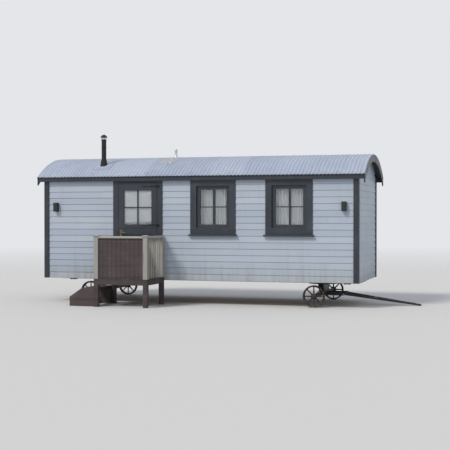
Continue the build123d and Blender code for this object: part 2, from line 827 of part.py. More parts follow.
with BuildPart() as lamp_glasses:
    for x in lamp_places:
        with BuildSketch(on_wall(-1, x, -lamp_plate)):
            for end in (-1, 1):
                with Locations((0, lamp_height + end * (lamp_length - lamp_glass) / 2)):
                    Rectangle(lamp_width - 2 * lamp_plate, lamp_glass)
        extrude(amount=lamp_depth - lamp_plate)
lamp_glasses.part.label = "lamp_glasses"
export_step(lamp_glasses.part, "parts/lamp_glasses.step")

# Running gear
beam_half = wheel_offset - hub_length / 2 - seat_gap


def axle(x):
    """A square beam across the hut with a round end in each wheel's hub."""
    with BuildSketch(across(x - axle_beam / 2)) as profile:
        rectangle((-beam_half, beam_half), (axle_height - axle_beam / 2, axle_height + axle_beam / 2))
    extrude(profile.sketch, amount=axle_beam)
    for side in (-1, 1):
        with BuildSketch(Plane(origin=(hut_x + x, hut_y + side * beam_half, axle_height),
                               x_dir=(-side, 0, 0), z_dir=(0, side, 0))) as profile:
            Circle(axle_end_diameter / 2)
        extrude(profile.sketch, amount=axle_end_length)


with BuildPart() as rear_axle:
    axle(rear_axle_x)
rear_axle.part.label = "rear_axle"
export_step(rear_axle.part, "parts/rear_axle.step")

axle_top = axle_height + axle_beam / 2
with BuildPart() as axle_hangers:
    for side in (-1, 1):
        with BuildSketch(lengthwise(side * rail_offset - rail_width / 2)):
            with BuildLine():
                Polyline((-rear_axle_x - 2 * axle_beam, frame_bottom),
                         (-rear_axle_x - axle_beam, axle_top), (-rear_axle_x + axle_beam, axle_top),
                         (-rear_axle_x + 2 * axle_beam, frame_bottom), close=True)
            make_face()
        extrude(amount=rail_width)
axle_hangers.part.label = "axle_hangers"
export_step(axle_hangers.part, "parts/axle_hangers.step")

with BuildPart() as front_axle:
    axle(front_axle_x)
front_axle.part.label = "front_axle"
export_step(front_axle.part, "parts/front_axle.step")


def turntable_ring_sketch(bar):
    """A ring with a broad bar across it, which takes the kingpin."""
    Circle(turntable_diameter / 2)
    Circle(turntable_diameter / 2 - turntable_ring, mode=Mode.SUBTRACT)
    Rectangle(bar, turntable_diameter - turntable_ring)


upper_plate_bottom = frame_bottom - turntable_plate
lower_plate_bottom = upper_plate_bottom - seat_gap - turntable_plate
kingpin_at = (hut_x + front_axle_x, hut_y)
with BuildPart() as upper_turntable:
    with BuildSketch(Plane(origin=(*kingpin_at, upper_plate_bottom))):
        turntable_ring_sketch(bolster_thickness)
        Circle(kingpin_diameter / 2 + fit_gap, mode=Mode.SUBTRACT)
    extrude(amount=turntable_plate)
upper_turntable.part.label = "upper_turntable"
export_step(upper_turntable.part, "parts/upper_turntable.step")

with BuildPart() as lower_turntable:
    with BuildSketch(Plane(origin=(*kingpin_at, lower_plate_bottom))):
        turntable_ring_sketch(bolster_thickness)
    extrude(amount=turntable_plate)
    with BuildSketch(Plane(origin=(*kingpin_at, lower_plate_bottom))):
        Circle(kingpin_diameter / 2)
    extrude(amount=frame_bottom + turntable_plate - lower_plate_bottom)
lower_turntable.part.label = "lower_turntable"
export_step(lower_turntable.part, "parts/lower_turntable.step")

with BuildPart() as front_bolster:
    with BuildSketch(across(front_axle_x - bolster_thickness / 2)):
        with BuildLine():
            Polyline((-bolster_length / 2, lower_plate_bottom), (bolster_length / 2, lower_plate_bottom),
                     (bolster_length / 3, axle_top), (-bolster_length / 3, axle_top), close=True)
        make_face()
    extrude(amount=bolster_thickness)
front_bolster.part.label = "front_bolster"
export_step(front_bolster.part, "parts/front_bolster.step")

# Arms that stand forward from the front axle and hold the drawbar's pins
pin_hole = drawbar_pin_diameter / 2 + fit_gap
with BuildPart() as drawbar_arms:
    for side in (-1, 1):
        with BuildSketch(Plane(origin=(hut_x + front_axle_x, hut_y + side * arm_offset - arm_width / 2,
                                       axle_height), x_dir=(1, 0, 0), z_dir=(0, -1, 0)).offset(-arm_width)):
            rectangle((axle_beam / 2, arm_length), (-arm_depth / 2, arm_depth / 2))
            with Locations((arm_length, 0)):
                Circle(arm_depth / 2)
                Circle(drawbar_pin_diameter / 2, mode=Mode.SUBTRACT)
        extrude(amount=arm_width)
drawbar_arms.part.label = "drawbar_arms"
export_step(drawbar_arms.part, "parts/drawbar_arms.step")

leg_offset = arm_offset - arm_width / 2 - drawbar_side_gap - drawbar_bar / 2
pin_inside = leg_offset - drawbar_bar / 2 - drawbar_side_gap
with BuildPart() as drawbar_pins:
    for side in (-1, 1):
        with BuildSketch(Plane(origin=(hut_x + drawbar_pin_x, hut_y + side * pin_inside, axle_height),
                               x_dir=(-side, 0, 0), z_dir=(0, side, 0))):
            Circle(drawbar_pin_diameter / 2)
        extrude(amount=arm_offset + arm_width / 2 - pin_inside)
drawbar_pins.part.label = "drawbar_pins"
export_step(drawbar_pins.part, "parts/drawbar_pins.step")

# Drawbar: two bars that meet at the towing eye, which lies on the ground
drawbar_plane = Plane(origin=(hut_x + drawbar_pin_x, hut_y, axle_height),
                      x_dir=(cos(drawbar_slope), 0, -sin(drawbar_slope)),
                      z_dir=(sin(drawbar_slope), 0, cos(drawbar_slope)))
with BuildPart() as drawbar:
    with BuildSketch(drawbar_plane.offset(-drawbar_bar / 2)):
        with BuildLine():
            Polyline((0, leg_offset - drawbar_bar / 2), (0, leg_offset + drawbar_bar / 2),
                     (drawbar_length - eye_outer / 2, drawbar_bar / 2 + 8),
                     (drawbar_length - eye_outer / 2, 0),
                     (drawbar_length - 2 * eye_outer, 0), close=True)
        make_face()
        mirror(about=Plane.XZ)
        cross_x = drawbar_length * 0.42
        cross_half = leg_offset * (1 - cross_x / (drawbar_length - eye_outer))
        rectangle((cross_x - drawbar_bar / 2, cross_x + drawbar_bar / 2), (-cross_half, cross_half))
    extrude(amount=drawbar_bar)
    with BuildSketch(drawbar_plane.offset(-eye_thickness / 2)):
        with Locations((drawbar_length, 0)):
            Circle(eye_outer / 2)
        rectangle((drawbar_length - eye_outer, drawbar_length), (-drawbar_bar / 2, drawbar_bar / 2))
        with Locations((drawbar_length, 0)):
            Circle(eye_bore / 2, mode=Mode.SUBTRACT)
    extrude(amount=eye_thickness)
    for side in (-1, 1):
        with BuildSketch(Plane(origin=(hut_x + drawbar_pin_x, hut_y + side * (leg_offset - drawbar_bar / 2),
                                       axle_height), x_dir=(-side, 0, 0), z_dir=(0, side, 0))):
            Circle(drawbar_boss / 2)
        extrude(amount=drawbar_bar)
    with BuildSketch(Plane(origin=(hut_x + drawbar_pin_x, hut_y, axle_height), x_dir=(1, 0, 0),
                           z_dir=(0, -1, 0))):
        Circle(pin_hole)
    extrude(amount=arm_offset, both=True, mode=Mode.SUBTRACT)
drawbar.part.label = "drawbar"
export_step(drawbar.part, "parts/drawbar.step")

# Wheels: name, axle place, side
wheel_places = (("wheel_front_near", front_axle_x, -1), ("wheel_front_far", front_axle_x, 1),
                ("wheel_rear_near", rear_axle_x, -1), ("wheel_rear_far", rear_axle_x, 1))
rim_inside = wheel_diameter / 2 - rim_depth
spoke_root = (hub_diameter + axle_end_diameter) / 4
spoke_end = rim_inside + rim_depth / 2
for name, x, side in wheel_places:
    middle = Plane(origin=(hut_x + x, hut_y + side * wheel_offset, axle_height),
                   x_dir=(-side, 0, 0), z_dir=(0, side, 0))
    with BuildPart() as wheel:
        with BuildSketch(middle.offset(-wheel_width / 2)):
            Circle(wheel_diameter / 2)
            Circle(rim_inside, mode=Mode.SUBTRACT)
        extrude(amount=wheel_width)
        with BuildSketch(middle.offset(-spoke_thickness / 2)):
            with BuildLine():
                Polyline((spoke_root, spoke_width / 2), (spoke_end, spoke_tip / 2),
                         (spoke_end, -spoke_tip / 2), (spoke_root, -spoke_width / 2), close=True)
            spoke = make_face(mode=Mode.PRIVATE)
            with PolarLocations(0, spoke_count):
                add(spoke)
        extrude(amount=spoke_thickness)
        with BuildSketch(middle.offset(-hub_length / 2)):
            Circle(hub_diameter / 2)
        extrude(amount=hub_length)
        with BuildSketch(middle.offset(-hub_length / 2)):
            Circle(axle_end_diameter / 2 + fit_gap)
        extrude(amount=axle_end_length + seat_gap, mode=Mode.SUBTRACT)
    wheel.part.label = name
    export_step(wheel.part, f"parts/{name}.step")

# Landing at the door: posts and bearers, deck boards, a boarded front and a railed right side
left, right = -landing_left, -landing_right
deck_back = -leaf_face - seat_gap
front = -landing_front
deck_bottom = landing_top - landing_board
post_places = ((left + newel / 2, front + newel / 2), (right - newel / 2, front + newel / 2),
               (left + newel / 2, deck_back - newel / 2), (right - newel / 2, deck_back - newel / 2))
with BuildPart() as landing_frame:
    with BuildSketch(plan(0)):
        with Locations(*post_places):
            Rectangle(newel, newel)
    extrude(amount=deck_bottom)
    with BuildSketch(plan(deck_bottom - landing_bearer)):
        rectangle((left, right), (front, deck_back))
        rectangle((left + newel / 2, right - newel / 2), (front + newel / 2, deck_back - newel / 2),
                  mode=Mode.SUBTRACT)
    extrude(amount=landing_bearer)
landing_frame.part.label = "landing_frame"
export_step(landing_frame.part, "parts/landing_frame.step")

deck_run = deck_back - front + deck_gap
deck_count = round(deck_run / deck_pitch)
deck_step = deck_run / deck_count
with BuildPart() as landing_deck:
    with BuildSketch(plan(deck_bottom)):
        with Locations(((left + right) / 2, (front + deck_back) / 2)):
            with GridLocations(0, deck_step, 1, deck_count):
                Rectangle(right - left, deck_step - deck_gap)
    extrude(amount=landing_board)
landing_deck.part.label = "landing_deck"
export_step(landing_deck.part, "parts/landing_deck.step")

with BuildPart() as newels:
    for x, y in post_places[:2]:
        with BuildSketch(plan(landing_top)):
            with Locations((x, y)):
                Rectangle(newel, newel)
        extrude(amount=rail_top - landing_top)
        with BuildSketch(plan(rail_top)):
            with Locations((x, y)):
                Rectangle(newel + 2 * newel_cap, newel + 2 * newel_cap)
        extrude(amount=newel_cap_height / 2)
        with BuildSketch(plan(rail_top + newel_cap_height / 2)):
            with Locations((x, y)):
                Rectangle(newel + 2 * newel_cap, newel + 2 * newel_cap)
        with BuildSketch(plan(rail_top + newel_cap_height)):
            with Locations((x, y)):
                Rectangle(newel_cap, newel_cap)
        loft()
    with BuildSketch(plan(landing_top)):
        with Locations((right - newel / 2, deck_back - newel / 2)):
            Rectangle(newel, newel)
    extrude(amount=rail_top - landing_top)
newels.part.label = "newels"
export_step(newels.part, "parts/newels.step")

rail_y = front + newel / 2
rail_x = right - newel / 2
with BuildPart() as landing_rails:
    with BuildSketch(plan(rail_top - rail_cap)):
        with Locations((0, rail_y)):
            rectangle((left + newel, right - newel), (-rail_cap_width / 2, rail_cap_width / 2))
        with Locations((rail_x, 0)):
            rectangle((-rail_cap_width / 2, rail_cap_width / 2), (front + newel, deck_back - newel))
    extrude(amount=rail_cap)
landing_rails.part.label = "landing_rails"
export_step(landing_rails.part, "parts/landing_rails.step")

panel_run = right - left - 2 * newel + panel_gap
panel_count = round(panel_run / panel_pitch)
panel_step = panel_run / panel_count
panel_top = rail_top - rail_cap
panel_back = rail_y + panel_thickness / 2
with BuildPart() as landing_panel:
    with BuildSketch(plan(landing_top)):
        with Locations(((left + right) / 2, rail_y)):
            with GridLocations(panel_step, 0, panel_count, 1):
                Rectangle(panel_step - panel_gap, panel_thickness)
    extrude(amount=panel_top - landing_top)
    for bottom in (landing_top + ledge_inset, panel_top - ledge_inset - ledge_height):
        with BuildSketch(plan(bottom)):
            rectangle((left + newel, right - newel), (panel_back, panel_back + ledge_thickness))
        extrude(amount=ledge_height)
landing_panel.part.label = "landing_panel"
export_step(landing_panel.part, "parts/landing_panel.step")

side_run = deck_back - newel - (front + newel)
baluster_pitch = side_run / (baluster_count + 1)
with BuildPart() as balusters:
    with BuildSketch(plan(landing_top)):
        with Locations((rail_x, (deck_back + front) / 2)):
            with GridLocations(0, baluster_pitch, 1, baluster_count):
                Rectangle(baluster, baluster)
    extrude(amount=rail_top - rail_cap - landing_top)
balusters.part.label = "balusters"
export_step(balusters.part, "parts/balusters.step")

# Steps down to the left, between two strings
rise = landing_top / (step_count + 1)
step_back = deck_back - (landing_depth - step_width) / 2
string_y = (step_back - string_thickness, step_back - step_width)
run = step_going * step_count
with BuildPart() as step_strings:
    for y in string_y:
        with BuildSketch(lengthwise(y)):
            with BuildLine():
                Polyline((-left, 0), (run - left, 0), (run - left, rise),
                         (step_going - left, 2 * rise), (-left, 2 * rise), close=True)
            make_face()
        extrude(amount=string_thickness)
step_strings.part.label = "step_strings"
export_step(step_strings.part, "parts/step_strings.step")

with BuildPart() as step_treads:
    for step in range(1, step_count + 1):
        tread_top = rise * step
        near_edge = left - step_going * (step_count - step)
        with BuildSketch(plan(tread_top - tread_thickness)):
            rectangle((near_edge - step_going, near_edge),
                      (string_y[1] + string_thickness, string_y[0]))
            with Locations((near_edge - step_going / 2, (string_y[0] + string_y[1] + string_thickness) / 2)):
                Rectangle(tread_gap, step_width, mode=Mode.SUBTRACT)
        extrude(amount=tread_thickness)
step_treads.part.label = "step_treads"
export_step(step_treads.part, "parts/step_treads.step")

parts_made = [name for name in os.listdir("parts") if name.endswith(".step")]
print(len(parts_made), "nodes")
print("hut middle", hut_x, hut_y)
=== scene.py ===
"""The parked shepherd hut's looks: boarding, corrugated roof, joinery, ironwork, curtains and paint.

Metres, +Z up, the ground at z = 0. The door side faces -Y and the drawbar points to +X. Pieces take their
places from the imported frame, and the sizes named here are those of the finish: boards, laps, folds, bolts.
"""

from math import asin, ceil, cos, pi, radians, sin, sqrt, tau

import bmesh
import bpy
import numpy as np
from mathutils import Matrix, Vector


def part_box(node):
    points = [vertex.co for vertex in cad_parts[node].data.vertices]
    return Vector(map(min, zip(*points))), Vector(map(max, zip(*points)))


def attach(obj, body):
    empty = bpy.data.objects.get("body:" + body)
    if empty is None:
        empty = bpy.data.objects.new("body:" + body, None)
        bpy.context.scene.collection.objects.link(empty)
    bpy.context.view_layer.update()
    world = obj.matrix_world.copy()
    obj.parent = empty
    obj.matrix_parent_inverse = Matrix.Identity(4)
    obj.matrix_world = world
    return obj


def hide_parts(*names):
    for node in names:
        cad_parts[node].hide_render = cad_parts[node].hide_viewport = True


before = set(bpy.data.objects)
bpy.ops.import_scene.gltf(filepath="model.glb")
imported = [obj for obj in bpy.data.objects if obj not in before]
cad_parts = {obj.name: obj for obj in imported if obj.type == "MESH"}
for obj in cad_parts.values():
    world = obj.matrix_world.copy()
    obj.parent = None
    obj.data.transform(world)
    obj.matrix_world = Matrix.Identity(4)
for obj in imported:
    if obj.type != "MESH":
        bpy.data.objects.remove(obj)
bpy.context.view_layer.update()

# Boarding
board_cover = 0.130            # height of wall that one weatherboard covers
board_proud = 0.007            # how far a board's lower edge stands out of the wall's face
board_tuck = -0.003            # and its upper edge, under the next board
board_slope = (board_tuck - board_proud) / board_cover
board_ease = 0.002             # worn off a board's lower edge
joint_gap = 0.002              # between the ends of two boards
stud_pitch = 0.600
end_stud_pitch = 0.7 * stud_pitch
nail_rise = 0.028              # from a board's lower edge up to its nails
nail_clear = 0.020             # wood that a nail needs to each side
least_run = 0.004              # shorter slivers of a board between two holes are left out
least_reach = 0.050            # half the length of the shortest board under the crown
core_inset = 0.009             # from the wall's face in to the core behind the boards
core_short = 0.012             # and at the core's ends, behind the corner boards
lining_cover = 0.110
lining_thickness = 0.008
lining_groove = 0.003
lining_short = 0.050           # below the ceiling, where the lining of the long walls stops
hairline = 0.001               # keeps faces that meet out of one plane
touching = 1e-6                # heights that differ by less are the same
splash_height = 0.42           # of wall that rain splashes up from the ground
mossy_height = 0.16            # of roof above the eaves where moss grows
muddy_height = 0.16            # of the wheels

# Roof
deck_thickness = 0.030
wave_pitch = 0.0762
wave_depth = 0.0165
wave_steps = 8                 # faces to a wave
arc_steps = 22                 # and over the roof from eave to eave
sheet_cover = 9 * wave_pitch
sheet_gap = 0.0012             # between the deck and the sheets' troughs
sheet_metal = 0.0008
lap_waves = 1.5
lap_lift = 0.0012              # of a sheet's edge over the next sheet
purlin_count = 7
screwed_wave = 3               # every third wave is screwed down
ceiling_board = 0.135
ceiling_groove = 0.004
flue_radius = 0.050
flue_clear = 0.062             # from the flue's middle to the cut roof boards
flue_plate_size = 0.400
vent_apron = 0.560             # how much further the vent's plate reaches down the slope in front of it

# Openings
window_jamb = 0.035
sash_stile = 0.070
glazing_bar = 0.022
door_casing = 0.080
door_head_casing = 0.040
leaf_stile = 0.120
strap_metal = 0.006
strap_knuckle = 0.01105        # radius of the strap hinges' rolled eyes

# Chassis and landing
kingpin_radius = 0.020
kingpin_play = 0.0004          # drawn on the pin, besides the play that the frame has
panel_pitch = 0.096            # one board of the landing's front, with its gap

# Camera, as the photograph looks at the hut, from the hut's middle on the ground
camera_place = Vector((6.60, -20.75, 1.81))
camera_aim = Vector((0.30, 0.0, 1.62))
camera_view = 25.0             # degrees across the square picture

random_seed = 41

# The frame's own places
deck_low, deck_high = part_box("roof_deck")
hut_x = (deck_low.x + deck_high.x) / 2
hut_y = (deck_low.y + deck_high.y) / 2
wall_low, wall_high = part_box("end_walls")
half_length = (wall_high.x - wall_low.x) / 2
half_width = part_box("wall_back")[1].y - hut_y
inside_width = wall_high.y - hut_y
wall = half_width - inside_width
wall_bottom = wall_low.z
floor_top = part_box("floor_boards")[1].z
roof_half_length = (deck_high.x - deck_low.x) / 2
deck_half = (deck_high.y - deck_low.y) / 2
deck_rise = deck_high.z - deck_thickness - deck_low.z
under_radius = (deck_half ** 2 + deck_rise ** 2) / (2 * deck_rise)
arc_z = deck_low.z + deck_rise - under_radius
deck_radius = under_radius + deck_thickness
flue_low, flue_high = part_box("flue_pipe")
flue_x = (flue_low.x + flue_high.x) / 2
flue_y = (flue_low.y + flue_high.y) / 2


def under_roof(y):
    """Height of the deck's underside at y from the hut's middle."""
    return arc_z + sqrt(under_radius ** 2 - y ** 2)


def solids(node):
    """The boxes of a node's separate solids, as (low, high), from left to right and front to back."""
    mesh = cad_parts[node].data
    points = np.array([v.co for v in mesh.vertices])
    keys = np.round(points / 1e-5).astype(np.int64)
    unique, which = np.unique(keys, axis=0, return_inverse=True)
    which = which.ravel()
    root = list(range(len(unique)))

    def top(i):
        """The point that stands for the solid of point i."""
        while root[i] != i:
            root[i] = root[root[i]]
            i = root[i]
        return i

    for polygon in mesh.polygons:
        first = top(which[polygon.vertices[0]])
        for vertex in polygon.vertices[1:]:
            root[top(which[vertex])] = first
    groups = np.array([top(i) for i in which])
    parts = [points[groups == group] for group in np.unique(groups)]
    boxes = [(Vector(part.min(0)), Vector(part.max(0))) for part in parts]
    return sorted(boxes, key=lambda box: (round(box[0].x, 3), round(box[0].y, 3), round(box[0].z, 3)))


casing = (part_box("window_frames")[1].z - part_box("window_sashes")[1].z) - window_jamb
corner_low, corner_high = solids("corner_boards")[0]
corner_width = corner_high.x - corner_low.x
corner_thickness = wall_low.x - corner_low.x
crest_x = flue_x + sheet_cover / 2
sheet_radius = deck_radius + sheet_gap
crest_radius = sheet_radius + wave_depth
sheet_edge = (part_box("roof_sheets")[1].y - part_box("roof_sheets")[0].y) / 2


# Nodes and materials

stretch_inputs = ("Value", "From Min", "From Max", "To Min", "To Max")


def feed(tree, node, inputs):
    """Fills a node's inputs, each with a value, another node's output, or a stretch of one.

    A stretch is (output, low, high), carried over to 0 and 1 or to the two numbers that follow it.
    """
    for name, value in inputs.items():
        if isinstance(value, tuple) and isinstance(value[0], bpy.types.NodeSocket):
            value = put(tree, "ShaderNodeMapRange", dict(zip(stretch_inputs, value))).outputs["Result"]
        if isinstance(value, bpy.types.NodeSocket):
            tree.links.new(value, node.inputs[name])
        else:
            node.inputs[name].default_value = value


def put(tree, kind, inputs=None, **settings):
    """Adds a node with its settings and inputs."""
    made = tree.nodes.new(kind)
    for name, value in settings.items():
        setattr(made, name, value)
    feed(tree, made, inputs or {})
    return made


def colour(hex_value):
    """An sRGB hex colour as linear numbers, with full alpha."""
    parts = [int(hex_value[i:i + 2], 16) / 255 for i in (1, 3, 5)]
    linear = [c / 12.92 if c <= 0.04045 else ((c + 0.055) / 1.055) ** 2.4 for c in parts]
    return (*linear, 1.0)


def material(name):
    """A new material with its tree and Principled shader."""
    made = bpy.data.materials.new(name)
    made.use_nodes = True
    tree = made.node_tree
    return made, tree, tree.nodes["Principled BSDF"]


def coated(tree, lowest, *coats):
    """A surface's colour: the lowest coat's, under further coats that are given as (share, colour) pairs."""
    seen = colour(lowest)
    # The mixing node takes its colours at 6 and 7, and gives one at 2
    for share, hex_value in coats:
        mix = put(tree, "ShaderNodeMix", {0: share, 6: seen, 7: colour(hex_value)}, data_type="RGBA")
        seen = mix.outputs[2]
    return seen


def finished(tree, shader, base, roughness, relief, depth):
    """Gives the shader its colour, its roughness, and a relief with its real depth in metres."""
    bump = put(tree, "ShaderNodeBump", {"Height": relief, "Distance": depth, "Strength": 1.0})
    feed(tree, shader, {"Base Color": base, "Roughness": roughness, "Normal": bump.outputs["Normal"]})


def uneven(tree, where, features, detail=4.0, roughness=0.55):
    """An irregular pattern from 0 to 1, with so many features per metre along each axis."""
    held = put(tree, "ShaderNodeMapping", {"Vector": where, "Scale": features})
    return put(tree, "ShaderNodeTexNoise", {"Vector": held.outputs[0], "Scale": 1.0, "Detail": detail,
                                            "Roughness": roughness}).outputs["Fac"]


def growth_rings(tree, lay, stretch, scale, distortion, detail_scale):
    """Growth rings that run along a board, 314 mm over the stretch and the scale apart."""
    held = put(tree, "ShaderNodeMapping", {"Vector": lay, "Scale": stretch})
    return put(tree, "ShaderNodeTexWave", {
        "Vector": held.outputs[0], "Scale": scale, "Distortion": distortion, "Detail": 3.0,
        "Detail Scale": detail_scale}, wave_type="BANDS", bands_direction="Y").outputs["Fac"]


def object_place(tree):
    """The place on the piece, in metres from the hut's origin."""
    return put(tree, "ShaderNodeTexCoord").outputs["Object"]


def board_place(tree):
    """Metres along a board, then across it, with each board's own start."""
    return put(tree, "ShaderNodeAttribute", attribute_name="lay").outputs["Vector"]


def board_tone(tree):
    """A number from 0 to 1 that differs from board to board."""
    return put(tree, "ShaderNodeAttribute", attribute_name="tone").outputs["Fac"]


def height_of(tree):
    """The height over the ground."""
    return put(tree, "ShaderNodeSeparateXYZ", {"Vector": object_place(tree)}).outputs["Z"]


def painted_boards():
    """Eggshell exterior paint on sawn softwood: matt, grain just shows, rain streaks and splashed feet."""
    made, tree, shader = material("eggshell_paint_on_softwood")
    where, lay, tone, height = object_place(tree), board_place(tree), board_tone(tree), height_of(tree)
    # Grain 9 mm wide, coarser than real grain, which wouldn't show; streaks 80 mm wide and 1.7 m long
    grain = uneven(tree, lay, (2.0, 110.0, 110.0), detail=6.0)
    patches = uneven(tree, where, (1.3, 1.3, 2.2), detail=3.0)
    streaks = uneven(tree, where, (13.0, 13.0, 0.6), detail=5.0, roughness=0.6)
    up_wall = put(tree, "ShaderNodeMath", {0: height, 1: wall_bottom}, operation="SUBTRACT").outputs[0]
    rows = put(tree, "ShaderNodeMath", {0: up_wall, 1: board_cover}, operation="DIVIDE").outputs[0]
    up_board = put(tree, "ShaderNodeMath", {0: rows}, operation="FRACT").outputs[0]
    splash = put(tree, "ShaderNodeMath", {
        0: (height, wall_bottom, wall_bottom + splash_height, 1.0, 0.0),
        1: (streaks, 0.30, 0.70, 0.15, 0.62)}, operation="MULTIPLY", use_clamp=True).outputs[0]
    # The top tenth of each board, just under the next board's lap, is darkened: partly dirt that gathers in
    # the joint, partly painted shade cast by the lap
    base = coated(
        tree, "#A6B1C1", (tone, "#B3BDCA"), ((patches, 0.35, 0.75, 0.0, 0.30), "#9AA8BE"),
        ((grain, 0.52, 0.72, 0.0, 0.20), "#8E9AAC"), ((streaks, 0.56, 0.80, 0.0, 0.30), "#868E93"),
        ((up_board, 0.90, 1.0, 0.0, 0.45), "#636C78"), (splash, "#7F7E75"))
    finished(tree, shader, base, (grain, 0.3, 0.8, 0.46, 0.62), grain, 0.0009)
    return made


def dark_paint():
    """Satin anthracite paint on joinery: low sheen, dust in the grain, worn paler on weathered spots."""
    made, tree, shader = material("satin_anthracite_paint")
    where, lay, tone = object_place(tree), board_place(tree), board_tone(tree)
    # Grain 8 mm wide, coarser than real grain, which wouldn't show; faded spots of 200 mm
    grain = uneven(tree, lay, (2.5, 120.0, 120.0), detail=6.0)
    bloom = uneven(tree, where, (5.0, 5.0, 3.0), detail=5.0)
    base = coated(
        tree, "#262C35", (tone, "#2F3640"), ((grain, 0.50, 0.75, 0.0, 0.35), "#3C444F"),
        ((bloom, 0.52, 0.80, 0.0, 0.45), "#4A525C"))
    finished(tree, shader, base, (bloom, 0.3, 0.8, 0.34, 0.55), grain, 0.0007)
    return made


def coated_sheet():
    """Plastisol-coated corrugated steel, pale grey-blue: matt, chalked, with dirt washed down the waves."""
    made, tree, shader = material("plastisol_coated_steel")
    where, tone, height = object_place(tree), board_tone(tree), height_of(tree)
    # Dirt runs 30 mm wide, two to a wave; chalked spots of 420 mm, moss of 110 mm; pores of 4 mm, coarsened
    runs = uneven(tree, where, (34.0, 1.1, 1.1), detail=6.0, roughness=0.62)
    chalk = uneven(tree, where, (2.4, 2.4, 2.4), detail=5.0)
    pores = uneven(tree, where, (260.0, 260.0, 260.0), detail=2.0)
    moss = uneven(tree, where, (9.0, 9.0, 9.0), detail=7.0, roughness=0.7)
    grown = put(tree, "ShaderNodeMath", {
        0: (height, deck_low.z, deck_low.z + mossy_height, 1.0, 0.0),
        1: (moss, 0.52, 0.62, 0.0, 0.55)}, operation="MULTIPLY", use_clamp=True).outputs[0]
    base = coated(
        tree, "#9AA6BF", (tone, "#A9B4CA"), ((chalk, 0.38, 0.72, 0.0, 0.45), "#BAC3D4"),
        ((runs, 0.54, 0.78, 0.0, 0.50), "#7E8788"), (grown, "#6C7060"))
    finished(tree, shader, base, (chalk, 0.3, 0.7, 0.42, 0.60), pores, 0.0002)
    return made


def black_steel():
    """Brushed-on black chassis paint over rolled steel: half gloss, road dust, rust where it is chipped."""
    made, tree, shader = material("black_chassis_paint")
    where = object_place(tree)
    # Dust in patches of 140 mm, chips of 26 mm
    dust = uneven(tree, where, (7.0, 7.0, 7.0), detail=6.0)
    chips = uneven(tree, where, (38.0, 38.0, 38.0), detail=6.0, roughness=0.7)
    base = coated(
        tree, "#1D1F22", ((dust, 0.45, 0.80, 0.0, 0.55), "#4B4841"),
        ((chips, 0.60, 0.66, 0.0, 0.80), "#6B3A22"))
    finished(tree, shader, base, (dust, 0.3, 0.8, 0.38, 0.75), chips, 0.0005)
    return made


def wheel_iron():
    """Sand-cast iron under worn black paint: pebbled skin, brown rust bloom, mud where the wheel rolls."""
    made, tree, shader = material("painted_sand_cast_iron")
    where, height = object_place(tree), height_of(tree)
    # The moulding sand's grit of 2.4 mm, rust in spots of 80 mm
    skin = uneven(tree, where, (420.0, 420.0, 420.0), detail=3.0)
    bloom = uneven(tree, where, (13.0, 13.0, 13.0), detail=7.0, roughness=0.68)
    mud = put(tree, "ShaderNodeMath", {0: (height, 0.0, muddy_height, 0.75, 0.0), 1: (bloom, 0.35, 0.6)},
              operation="MULTIPLY").outputs[0]
    base = coated(
        tree, "#232425", ((bloom, 0.42, 0.58), "#3A3631"), ((bloom, 0.56, 0.66, 0.0, 0.85), "#7A4226"),
        (mud, "#6B6252"))
    finished(tree, shader, base, (bloom, 0.4, 0.65, 0.48, 0.85), skin, 0.0006)
    feed(tree, shader, {"Metallic": 0.25})
    return made


def stained_wood():
    """Dark brown stain on rough-sawn boards, faded grey on the grain's ridges."""
    made, tree, shader = material("dark_stained_softwood")
    where, lay, tone = object_place(tree), board_place(tree), board_tone(tree)
    # Rings 22 mm apart, as on flat-sawn boards; fibre of 4 mm; faded spots of 330 mm
    rings = growth_rings(tree, lay, (0.35, 9.0, 9.0), 1.6, 6.0, 1.2)
    fibre = uneven(tree, lay, (4.0, 240.0, 240.0), detail=5.0)
    fade = uneven(tree, where, (3.0, 3.0, 3.0), detail=4.0)
    base = coated(
        tree, "#372B2D", (tone, "#473A3C"), ((rings, 0.35, 0.95, 0.0, 0.55), "#281F21"),
        ((fibre, 0.50, 0.74, 0.0, 0.50), "#635A5B"), ((fade, 0.50, 0.78, 0.0, 0.40), "#69656A"))
    finished(tree, shader, base, (fibre, 0.3, 0.8, 0.55, 0.80), fibre, 0.0012)
    return made


def silvered_wood():
    """Planed posts and rail gone silver-grey in the weather, with checks along the grain."""
    made, tree, shader = material("weathered_planed_softwood")
    where, lay, tone = object_place(tree), board_place(tree), board_tone(tree)
    # Fibre of 5 mm, checks 22 mm apart and up to 0.8 m long, damp spots of 170 mm
    fibre = uneven(tree, lay, (3.0, 190.0, 190.0), detail=6.0)
    checks = uneven(tree, lay, (1.2, 46.0, 46.0), detail=3.0)
    damp = uneven(tree, where, (6.0, 6.0, 2.0))
    base = coated(
        tree, "#9B9A95", (tone, "#B3B1AA"), ((fibre, 0.45, 0.75, 0.0, 0.55), "#7C7A75"),
        ((checks, 0.66, 0.70, 0.0, 0.75), "#4E4B47"), ((damp, 0.55, 0.80, 0.0, 0.40), "#878C7C"))
    finished(tree, shader, base, (fibre, 0.3, 0.8, 0.62, 0.82), fibre, 0.0010)
    return made


